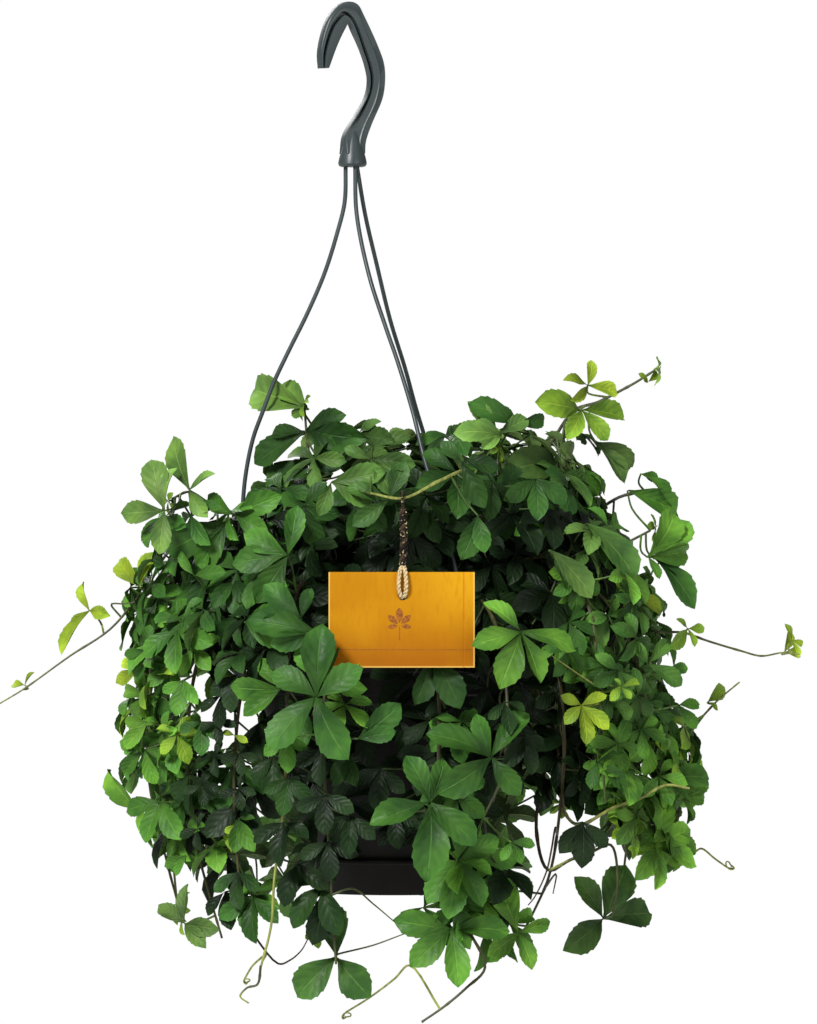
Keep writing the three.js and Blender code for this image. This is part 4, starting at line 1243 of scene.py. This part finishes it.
def make_strands(plastic):
    under = RIM_Z - FLANGE_THICKNESS - 0.3
    low = under - BARB_LENGTH
    barb = [
        (AXIS, low), (0.9, low + 0.2), (BARB_RADIUS, under - 0.8), (BARB_RADIUS, under),
        (AXIS, under),
    ]
    for (name, route), turn in zip(STRANDS.items(), LUG_TURNS):
        piece = Piece(name + "_moulded")
        lug = lug_place(turn)
        path = spline([*route, lug, (lug.x, lug.y, under - 2)], 8)
        tube(piece, path, STRAND_RADIUS, 12)
        turned(piece, rounded(barb, 0.5), lug, sides=24)
        piece.stand_for(name, "hanger_plastic", [plastic])


# Pot, saucer and soil

def inside_radius(z):
    edge = POT_FOOT + 3.5
    return wall_radius((z - edge) / (RIM_Z - edge)) - WALL


def make_pot(plastic):
    piece = Piece("pot_moulded")
    under, flange, neck = RIM_Z - FLANGE_THICKNESS, POT_RADIUS + FLANGE_WIDTH, RIM_Z - 17
    rise = under - POT_FOOT - 2
    wall = [(wall_radius(share), POT_FOOT + 2 + share * rise) for share in (0, 0.3, 0.6, 0.86)]
    profile = [
        (AXIS, POT_FOOT), (POT_FOOT_RADIUS - 2, POT_FOOT), *wall, (80.6, neck), (81.6, neck + 1),
        (POT_RADIUS - 1, under), (flange - 0.5, under), (flange, RIM_Z),
        (POT_RADIUS - WALL, RIM_Z), (inside_radius(POT_FOOT + 3.5), POT_FOOT + 3.5),
        (POT_FOOT_RADIUS - WALL - 2, POT_FOOT + WALL), (AXIS, POT_FOOT + WALL),
    ]
    turned(piece, rounded(profile, 1.0), sides=128)
    high, low = RIM_Z - 0.15, under + 0.15
    eye = [(LUG_HOLE, low), (LUG_RADIUS, low), (LUG_RADIUS, high), (LUG_HOLE, high)]
    for turn in LUG_TURNS:
        turned(piece, [*eye, eye[0]], lug_place(turn), sides=32)
    piece.stand_for("pot", "pot_plastic", [plastic])


def make_saucer(plastic):
    piece = Piece("drip_saucer_moulded")
    floor = POT_FOOT - 0.3
    foot = floor - WALL - 3
    rim = foot + SAUCER_HEIGHT
    profile = [
        (AXIS, foot + 1), (SAUCER_FOOT_RADIUS - 6, foot + 1), (SAUCER_FOOT_RADIUS - 5, foot),
        (SAUCER_FOOT_RADIUS, foot), (SAUCER_RADIUS - 0.6, rim - 2.4), (SAUCER_RADIUS, rim - 2.2),
        (SAUCER_RADIUS, rim), (SAUCER_RADIUS - WALL, rim), (SAUCER_FOOT_RADIUS - WALL + 1, floor),
        (AXIS, floor),
    ]
    turned(piece, rounded(profile, 0.7))
    piece.stand_for("drip_saucer", "pot_plastic", [plastic])


def make_soil(mix, rings=26, crumbs=160):
    piece = Piece("potting_soil_crumbled")
    edge = POT_FOOT + 6.5
    radius = inside_radius(SOIL_Z) - 0.7
    profile = [
        (AXIS, POT_FOOT + WALL + 0.4), (POT_FOOT_RADIUS - 2 * WALL - 2, POT_FOOT + WALL + 0.4),
        (inside_radius(edge) - 0.7, edge), (radius, SOIL_Z),
    ]
    profile += [(radius * (1 - i / rings) + AXIS, SOIL_Z) for i in range(1, rings + 1)]
    turned(piece, profile, sides=90)
    for i, point in enumerate(piece.points):
        if point.z > SOIL_Z - 1:
            lumps = noise.noise(point * 0.09) * 2.6 + noise.noise(point * 0.35) * 1.6
            piece.points[i] = point + Vector((0, 0, lumps - 1))
    chance = random.Random("crumbs")
    for _ in range(crumbs):
        turn, out = chance.uniform(0, tau), radius * 0.96 * sqrt(chance.random())
        crumb(piece, about((AXIS_X, 0), out, turn, SOIL_Z + 0.5), chance)
    piece.stand_for("potting_soil", "potting_mix", [mix], crease=70)


def crumb(piece, centre, chance):
    """A crumb of bark: a small box with its corners moved."""
    size = Vector([chance.uniform(*sizes) for sizes in ((1, 4), (1, 2.4), (0.6, 1.6))])
    spin = Quaternion((0, 0, 1), chance.uniform(0, pi))
    spin = spin @ Quaternion((1, 0, 0), chance.uniform(-0.5, 0.5))
    points = []
    for z in (-1, 1):
        for x, y in ((-1, -1), (1, -1), (1, 1), (-1, 1)):
            corner = Vector((x, y, z)) * size * chance.uniform(0.6, 1)
            points.append(centre + spin @ corner)
    sides = [(i, (i + 1) % 4, (i + 1) % 4 + 4, i + 4) for i in range(4)]
    faces = [(3, 2, 1, 0), (4, 5, 6, 7), *sides]
    piece.add(points, [(0, 0)] * 8, faces, (chance.uniform(0.6, 2.2),) * 3)


# Tag: one strip of card, folded at the top, with a generic leaf print, on a twine

def card_front(share, drop):
    """The middle of the card's front leaf: share across, and how far below the fold."""
    bow = 1.1 * sin(pi * share) * drop / CARD_HEIGHT
    lip = 0.5 * (drop / CARD_HEIGHT) ** 3 * cos(tau * share)
    y = CARD_Y - CARD_FOLD + CARD_STOCK / 2 - bow + lip
    return Vector((CARD_LEFT + CARD_WIDTH * share, y, CARD_TOP - drop))


def slab(piece, rows, places, thickness):
    """A closed sheet of a thickness about a grid of points, its front on the normals' side."""
    count, columns = len(rows), len(rows[0])
    across = [directions(row) for row in rows]
    along = [directions(column) for column in zip(*rows)]
    front, back = [], []
    for i, row in enumerate(rows):
        for j, point in enumerate(row):
            normal = across[i][j].cross(along[j][i]).normalized() * thickness / 2
            front.append(point + normal)
            back.append(point - normal)
    faces = grid_faces(count, columns)
    half = len(front)
    faces += [tuple(half + i for i in reversed(face)) for face in faces]
    rim = list(range(columns)) + [(i + 1) * columns - 1 for i in range(1, count)]
    rim += [(count - 1) * columns + j for j in range(columns - 2, -1, -1)]
    rim += [i * columns for i in range(count - 2, 0, -1)]
    faces += [(b, a, a + half, b + half) for a, b in zip(rim, rim[1:] + rim[:1])]
    piece.add(front + back, places * 2, faces)


def make_card(stock, ink, columns=24, rows_down=16, rows_round=8):
    piece = Piece("tag_card_folded")
    shares = [j / columns for j in range(columns + 1)]
    bend = CARD_FOLD - CARD_STOCK / 2
    rows, places = [], []

    def add_row(height, points):
        rows.append(points)
        places.extend((share, height) for share in shares)

    def level(y, z):
        return [Vector((CARD_LEFT + CARD_WIDTH * share, y, z)) for share in shares]

    for i in range(rows_down + 1):
        drop = CARD_HEIGHT - (CARD_HEIGHT - CARD_FOLD) * i / rows_down
        add_row(1 - drop / CARD_HEIGHT, [card_front(share, drop) for share in shares])
    for i in range(1, rows_round):
        turn = pi * i / rows_round
        add_row(1, level(CARD_Y - bend * cos(turn), CARD_TOP - CARD_FOLD + bend * sin(turn)))
    for i in range(rows_down + 1):
        drop = CARD_FOLD + (CARD_HEIGHT - 1 - CARD_FOLD) * i / rows_down
        slope = drop / CARD_HEIGHT
        add_row(1 + slope, level(CARD_Y + bend + slope, CARD_TOP - drop))
    slab(piece, rows, places, CARD_STOCK)
    punch(piece.stand_for("tag_card", "card", [stock, ink]))
    make_print(ink)


def punch(card):
    """The hole through both leaves of the card."""
    x, z = CARD_HOLE
    cutter = Piece("cutter")
    profile = [(AXIS, -9), (CARD_HOLE_RADIUS, -9), (CARD_HOLE_RADIUS, 9), (AXIS, 9)]
    turned(cutter, profile, (0, 0), sides=32)
    cutter.points = [Vector((x + p.x, CARD_Y - p.z, z + p.y)) for p in cutter.points]
    tool = cutter.make([])
    cut = card.modifiers.new("hole", "BOOLEAN")
    cut.operation, cut.object, cut.solver = "DIFFERENCE", tool, "EXACT"
    settled = card.evaluated_get(bpy.context.evaluated_depsgraph_get())
    mesh = bpy.data.meshes.new_from_object(settled)
    card.modifiers.clear()
    card.data = mesh
    bpy.data.objects.remove(tool)


# The print: a rule's height and step, and a sprig's heart, leaflets (turn, length) and stalk
RULE_Z, RULE_STEP = (-374.3, -373.9), 4
SPRIG_HEART = Vector((31, -360))
SPRIG = [(90, 10.5), (42, 9), (138, 9), (-8, 7), (188, 7)]
SPRIG_BLADE = [(0.14, 0), (0.4, 0.16), (0.66, 0.21), (0.85, 0.13), (1, 0)]
SPRIG_STALK = [(30.7, -368.5), (31.3, -368.5), (31.2, -360.5), (30.8, -360.5)]


def make_print(ink):
    """A plain rule and a small leaf sprig, as thin ink on the card's front."""
    piece = Piece("tag_card_print")
    lift = Vector((0, -CARD_STOCK / 2 - 0.05, 0))

    def flat(outline):
        points = [
            card_front((x - CARD_LEFT) / CARD_WIDTH, CARD_TOP - z) + lift for x, z in outline
        ]
        piece.add(points, [(0, 0)] * len(points), [tuple(range(len(points)))])

    for x in range(-7, 73, RULE_STEP):
        low, high = RULE_Z
        flat([(x, low), (x + RULE_STEP, low), (x + RULE_STEP, high), (x, high)])
    for turn, length in SPRIG:
        run = Vector((cos(radians(turn)), sin(radians(turn))))
        side = Vector((-run.y, run.x))
        right = [run * share * length - side * half * length for share, half in SPRIG_BLADE]
        left = [run * share * length + side * half * length for share, half in SPRIG_BLADE[3:0:-1]]
        flat([SPRIG_HEART + point for point in right + left])
    flat(SPRIG_STALK)
    piece.stand_for(None, "card", [ink])


def plied(piece, path, radius, pitch, tints):
    """A twisted twine: one ply for each tint, wound about a path."""
    rounds = list(zip(path, lengths(path), frames(path)))
    for ply, tint in enumerate(tints):
        wound = []
        for point, length, (across, aside) in rounds:
            turn = tau * length / pitch + tau * ply / len(tints)
            out = across * cos(turn) + aside * sin(turn)
            wound.append(point + out * radius * 0.48)
        tube(piece, wound, radius * 0.56, 6, tint)


def make_twine(fibre):
    piece = Piece("tag_twine_twisted")
    x, hole = CARD_HOLE
    _, stem_y, stem_z = TWINE_STEM
    y, low, high = CARD_Y, CARD_TOP + 4, stem_z - 7
    leg, reach = CARD_FOLD + 2.4, 3.6
    loop = [
        (x, y, low), (x - 1.7, y - leg, low - 4), (x - 2.3, y - leg - 0.4, hole + 4),
        (x - 0.8, y - 1.6, hole - 0.4), (x - 0.4, y + 2.4, hole),
        (x + 0.5, y + leg + 0.8, hole + 5), (x + 0.5, y + leg, low - 5), (x, y, low),
    ]
    front = [
        (x + 0.6, y, low), (x + 1.5, y - leg, low - 4), (x + 1.9, y - leg - 0.4, hole + 4),
        (x + 0.9, y - 1.6, hole), (x + 0.8, y + 1.5, hole + 0.6),
    ]
    eye = [
        (x, y, high), (x, stem_y - reach, stem_z - 1.5),
        (x, stem_y - 0.6 * reach, stem_z + 0.8 * reach),
        (x, stem_y + 0.6 * reach, stem_z + 0.8 * reach),
        (x, stem_y + reach, stem_z - 1.5), (x, y, high),
    ]
    run = [(x, y, low - 1), (x + 0.6, y, (low + high) / 2), (x, y, high + 1)]
    for route in (loop, front):
        plied(piece, spline(route, 12), TWINE_RADIUS * 1.35, 5, [TWINE_CREAM, TWINE_CREAM])
    # The eye round the stem and the run up to it hang in the leaves' shadow: their plies take
    # painted shade colours, the loop at the card keeps the twine's cream
    plied(piece, spline(eye, 12), TWINE_RADIUS, 4.5, [TWINE_SHADED, TWINE_DEEP_SHADED])
    plied(piece, spline(run, 40), TWINE_RADIUS * 2.4, 9, [TWINE_SHADED, TWINE_DEEP_SHADED, TWINE_DEEP_SHADED])
    piece.stand_for("tag_twine", "twine", [fibre])


# Materials

class Look:
    """A material with one Principled shader, and short words for the nodes before it."""

    def __init__(self, name, roughness, specular):
        self.material = bpy.data.materials.new(name)
        self.material.use_nodes = True
        self.tree = self.material.node_tree
        self.shader = self.tree.nodes["Principled BSDF"]
        self.shader.inputs["Roughness"].default_value = roughness
        self.shader.inputs["Specular IOR Level"].default_value = specular
        self.place = self.node("TexCoord", {}, "Object")

    def link(self, source, target):
        if isinstance(source, bpy.types.NodeSocket):
            self.tree.links.new(source, target)
        else:
            target.default_value = source

    def node(self, kind, inputs, output=0, **settings):
        """An output of a new node, with values or other nodes' outputs on its inputs."""
        node = self.tree.nodes.new("ShaderNode" + kind)
        for name, value in settings.items():
            setattr(node, name, value)
        for key, source in inputs.items():
            self.link(source, node.inputs[key])
        return node.outputs[output]

    def math(self, operation, one, other=0.0):
        return self.node("Math", {0: one, 1: other}, operation=operation)

    def plus(self, one, other):
        return self.math("ADD", one, other)

    def minus(self, one, other):
        return self.math("SUBTRACT", one, other)

    def times(self, one, other):
        return self.math("MULTIPLY", one, other)

    def far_from(self, source, value):
        return self.math("ABSOLUTE", self.minus(source, value))

    def noise(self, scale, detail=3, stretch=None):
        place = self.place
        if stretch:
            place = self.node("Mapping", {"Vector": place, "Scale": stretch})
        return self.node("TexNoise", {"Vector": place, "Scale": scale, "Detail": detail}, "Fac")

    def fade(self, source, low, high, start=0.0, end=1.0):
        """source taken from low..high to start..end, softly, and held beyond."""
        inputs = dict(enumerate((source, low, high, start, end)))
        return self.node("MapRange", inputs, interpolation_type="SMOOTHSTEP")

    def mix(self, share, one, other, blend="MIX"):
        one, other = [
            colour if isinstance(colour, bpy.types.NodeSocket) else (*colour, 1)
            for colour in (one, other)
        ]
        inputs = {"Factor": share, "A": one, "B": other}
        return self.node("Mix", inputs, "Result", data_type="RGBA", blend_type=blend)

    def product(self, one, other):
        return self.mix(1.0, one, other, "MULTIPLY")

    def tint(self):
        return self.node("Attribute", {}, "Color", attribute_name="tint")

    def patch(self):
        """Across and along on the patch."""
        place = self.node("UVMap", {}, uv_map="patch")
        return [self.node("SeparateXYZ", {0: place}, way) for way in ("X", "Y")]

    def bumped(self, height, distance, strength=0.6):
        inputs = {"Height": height, "Distance": distance, "Strength": strength}
        self.link(self.node("Bump", inputs), self.shader.inputs["Normal"])

    def coloured(self, colour, rough=None):
        """Gives the finished material, with this colour."""
        self.link(colour, self.shader.inputs["Base Color"])
        if rough:
            self.link(rough, self.shader.inputs["Roughness"])
        return self.material


def plastic(name, colour, roughness, specular):
    look = Look(name, roughness, specular)
    cloud = look.noise(45)
    look.bumped(look.noise(900, 2), 0.00006, 0.5)
    rough = look.fade(cloud, 0.3, 0.7, roughness - 0.07, roughness + 0.09)
    return look.coloured(look.mix(cloud, scaled(colour, 0.8), scaled(colour, 1.2)), rough)


def veins(look):
    """Masks of the midrib, of the side veins and of the swelling between them."""
    across, along = look.patch()
    off = look.far_from(across, 0.5)
    rank = look.minus(look.times(along, 5.6), look.times(off, 2.8))
    rank = look.math("FRACT", look.plus(rank, look.times(look.noise(120, 1), 0.5)))
    wave = look.far_from(rank, 0.5)
    midrib, side = look.fade(off, 0.01, 0.045, 1, 0), look.fade(wave, 0.02, 0.09, 1, 0)
    return midrib, side, look.fade(wave, 0, 0.5)


def leaf_top():
    look = Look("leaf_upper", 0.42, 0.16)
    midrib, side, swell = veins(look)
    fine = look.noise(500)
    blotch = look.fade(look.noise(60, 4), 0.32, 0.68)
    tint = look.tint()
    dull, brighter, valley, vein, rib = [
        look.product(tint, by)
        for by in (
            (0.55, 0.62, 0.62), (1.3, 1.22, 1.0), (0.7, 0.76, 0.7), (1.6, 1.4, 1.3),
            (2.0, 1.65, 1.6),
        )
    ]
    colour = look.mix(blotch, dull, brighter)
    colour = look.mix(look.times(swell, 0.25), colour, valley)
    colour = look.mix(look.times(side, 0.12), colour, vein)
    colour = look.mix(look.times(midrib, 0.5), colour, rib)
    height = look.minus(look.times(swell, 0.5), look.times(midrib, 0.9))
    look.bumped(look.plus(height, look.times(fine, 0.2)), 0.0005)
    return look.coloured(colour, look.fade(fine, 0.3, 0.7, 0.40, 0.56))


def leaf_under():
    look = Look("leaf_lower", 0.62, 0.2)
    midrib, side, _ = veins(look)
    colour = look.mix(0.22, look.tint(), seen_colour(120, 146, 84))
    colour = look.mix(look.times(side, 0.2), colour, seen_colour(140, 164, 96))
    colour = look.mix(look.times(midrib, 0.5), colour, seen_colour(160, 180, 110))
    look.bumped(look.plus(midrib, look.times(side, 0.5)), 0.0004)
    return look.coloured(colour)


def stem_bark():
    look = Look("stem_skin", 0.55, 0.4)
    streaks = look.noise(160, 4, stretch=(2, 2, 0.35))
    tint = look.tint()
    dark, light = look.product(tint, (0.62, 0.58, 0.55)), look.product(tint, (1.25, 1.2, 1.1))
    look.bumped(streaks, 0.0003)
    return look.coloured(look.mix(look.fade(streaks, 0.35, 0.65), dark, light))


def potting_mix():
    look = Look("potting_mix_crumbs", 0.95, 0.2)
    grain = look.noise(420, 6)
    peat = [seen_colour(38, 28, 20), seen_colour(86, 64, 44)]
    look.bumped(grain, 0.002, 1.0)
    colour = look.mix(look.fade(grain, 0.35, 0.65), *peat)
    return look.coloured(look.product(colour, look.tint()))


def card_stock():
    look = Look("card_stock", 0.7, 0.1)
    across, down = look.patch()
    fibres = look.noise(500, 4, stretch=(1, 1, 0.25))
    deep, light = seen_colour(158, 92, 6), seen_colour(208, 150, 18)
    colour = look.mix(look.fade(down, 0.0, 0.55), deep, seen_colour(180, 120, 6))
    upper = look.times(look.fade(across, 0.35, 1.0), look.fade(down, 0.35, 0.9))
    colour = look.mix(upper, colour, light)
    colour = look.mix(look.fade(look.noise(30), 0.35, 0.7, 0, 0.3), colour, light)
    colour = look.mix(look.fade(fibres, 0.45, 0.75, 0, 0.25), colour, deep)
    sides = [look.times(share, CARD_WIDTH) for share in (across, look.minus(1.0, across))]
    edge = look.math("MINIMUM", look.math("MINIMUM", *sides), look.times(down, CARD_HEIGHT))
    colour = look.mix(look.fade(edge, 0.5, 1.1, 0.75, 0.0), colour, seen_colour(226, 186, 96))
    # A crease near the card's right edge, dented by the bump and drawn darker: painted shade in the
    # fold
    crease = look.fade(look.far_from(across, 0.926), 0.002, 0.008, 1.0, 0.0)
    colour = look.mix(look.times(crease, 0.45), colour, seen_colour(176, 98, 16))
    look.bumped(look.minus(look.times(fibres, 0.4), crease), 0.0002)
    return look.coloured(colour)


def print_ink():
    look = Look("print_ink", 0.7, 0.3)
    worn = look.fade(look.noise(900), 0.35, 0.7)
    return look.coloured(look.mix(worn, seen_colour(120, 66, 14), seen_colour(164, 96, 20)))


def twine_fibre():
    look = Look("twine_fibre", 0.95, 0.2)
    hair = look.noise(1400, 4, stretch=(1, 1, 0.4))
    tint = look.tint()
    colour = look.mix(look.fade(hair, 0.3, 0.6), look.product(tint, (0.55, 0.5, 0.45)), tint)
    # Cream specks on the dark plies: painted glints where fibres catch the light
    specks = look.fade(look.noise(700, 2), 0.6, 0.68, 0.0, 0.8)
    look.bumped(hair, 0.0004, 1.0)
    return look.coloured(look.mix(specks, colour, TWINE_CREAM))


# Stage: a pale, faintly glowing floor far below, soft light from all round, and three large lamps

WHITE = (1, 1, 1, 1)
FLOOR_Z, FLOOR_RADIUS = -3500, 40000
LIT = Vector((0.03, 0, -0.35))  # where the lamps point, in metres


def make_floor():
    piece = Piece("floor")
    turned(piece, [(AXIS, FLOOR_Z), (FLOOR_RADIUS, FLOOR_Z)], (0, 0), sides=64)
    look = Look("floor_paint", 0.9, 0.2)
    look.shader.inputs["Emission Color"].default_value = WHITE
    look.shader.inputs["Emission Strength"].default_value = 0.5
    paint = look.coloured(look.mix(look.noise(0.4, 2), (0.80, 0.80, 0.79), (0.84, 0.84, 0.83)))
    piece.make([paint])


def make_lamp(name, place, size, power):
    lamp = bpy.data.lights.new(name, "AREA")
    lamp.shape, lamp.size, lamp.energy = "DISK", size, power
    holder = placed(name, lamp)
    holder.location = place
    holder.rotation_euler = (LIT - Vector(place)).to_track_quat("-Z", "Y").to_euler()


def make_light():
    """The lamps, a dim light from all round, and a white backdrop for the camera alone."""
    world = bpy.data.worlds.new("studio")
    bpy.context.scene.world = world
    world.use_nodes = True
    tree = world.node_tree
    around, backdrop = tree.nodes["Background"], tree.nodes.new("ShaderNodeBackground")
    choose = tree.nodes.new("ShaderNodeMixShader")
    rays = tree.nodes.new("ShaderNodeLightPath")
    tree.links.new(rays.outputs["Is Camera Ray"], choose.inputs["Fac"])
    for i, (background, strength) in enumerate(((around, 0.22), (backdrop, 1.0))):
        background.inputs["Color"].default_value = WHITE
        background.inputs["Strength"].default_value = strength
        tree.links.new(background.outputs[0], choose.inputs[1 + i])
    tree.links.new(choose.outputs[0], tree.nodes["World Output"].inputs["Surface"])
    make_lamp("key", (-1.3, -2.4, 1.5), 0.8, 120)
    make_lamp("fill", (2.0, -2.6, 0.4), 1.8, 22)
    make_lamp("back", (-1.2, 3.2, 1.6), 2.2, 50)
    bpy.context.scene.view_settings.view_transform = "Standard"


def make_camera():
    camera = bpy.data.cameras.new("photo_view")
    camera.sensor_width = SENSOR
    camera.lens = SENSOR * -EYE.y / FRAME_HEIGHT
    holder = placed("photo_view", camera)
    holder.location = EYE * MM
    holder.rotation_euler = (pi / 2, 0, 0)
    bpy.context.scene.camera = holder


def main():
    make_camera()
    make_light()
    make_floor()
    hanger = plastic("hanger_moulding", seen_colour(54, 63, 64), 0.40, 0.45)
    black = plastic("pot_moulding", seen_colour(17, 14, 13), 0.55, 0.16)
    make_hook(hanger)
    make_strands(hanger)
    make_pot(black)
    make_saucer(black)
    make_soil(potting_mix())
    make_card(card_stock(), print_ink())
    make_twine(twine_fibre())
    foliage = Foliage()
    foliage.grow_stems()
    foliage.grow_own_leaves()
    foliage.grow_shown_leaves()
    foliage.grow_thin_runs()
    foliage.grow_along()
    foliage.grow_sides()
    foliage.grow_thickets()
    foliage.grow_top()
    foliage.grow_inside()
    foliage.make([stem_bark(), leaf_top(), leaf_under()])


main()
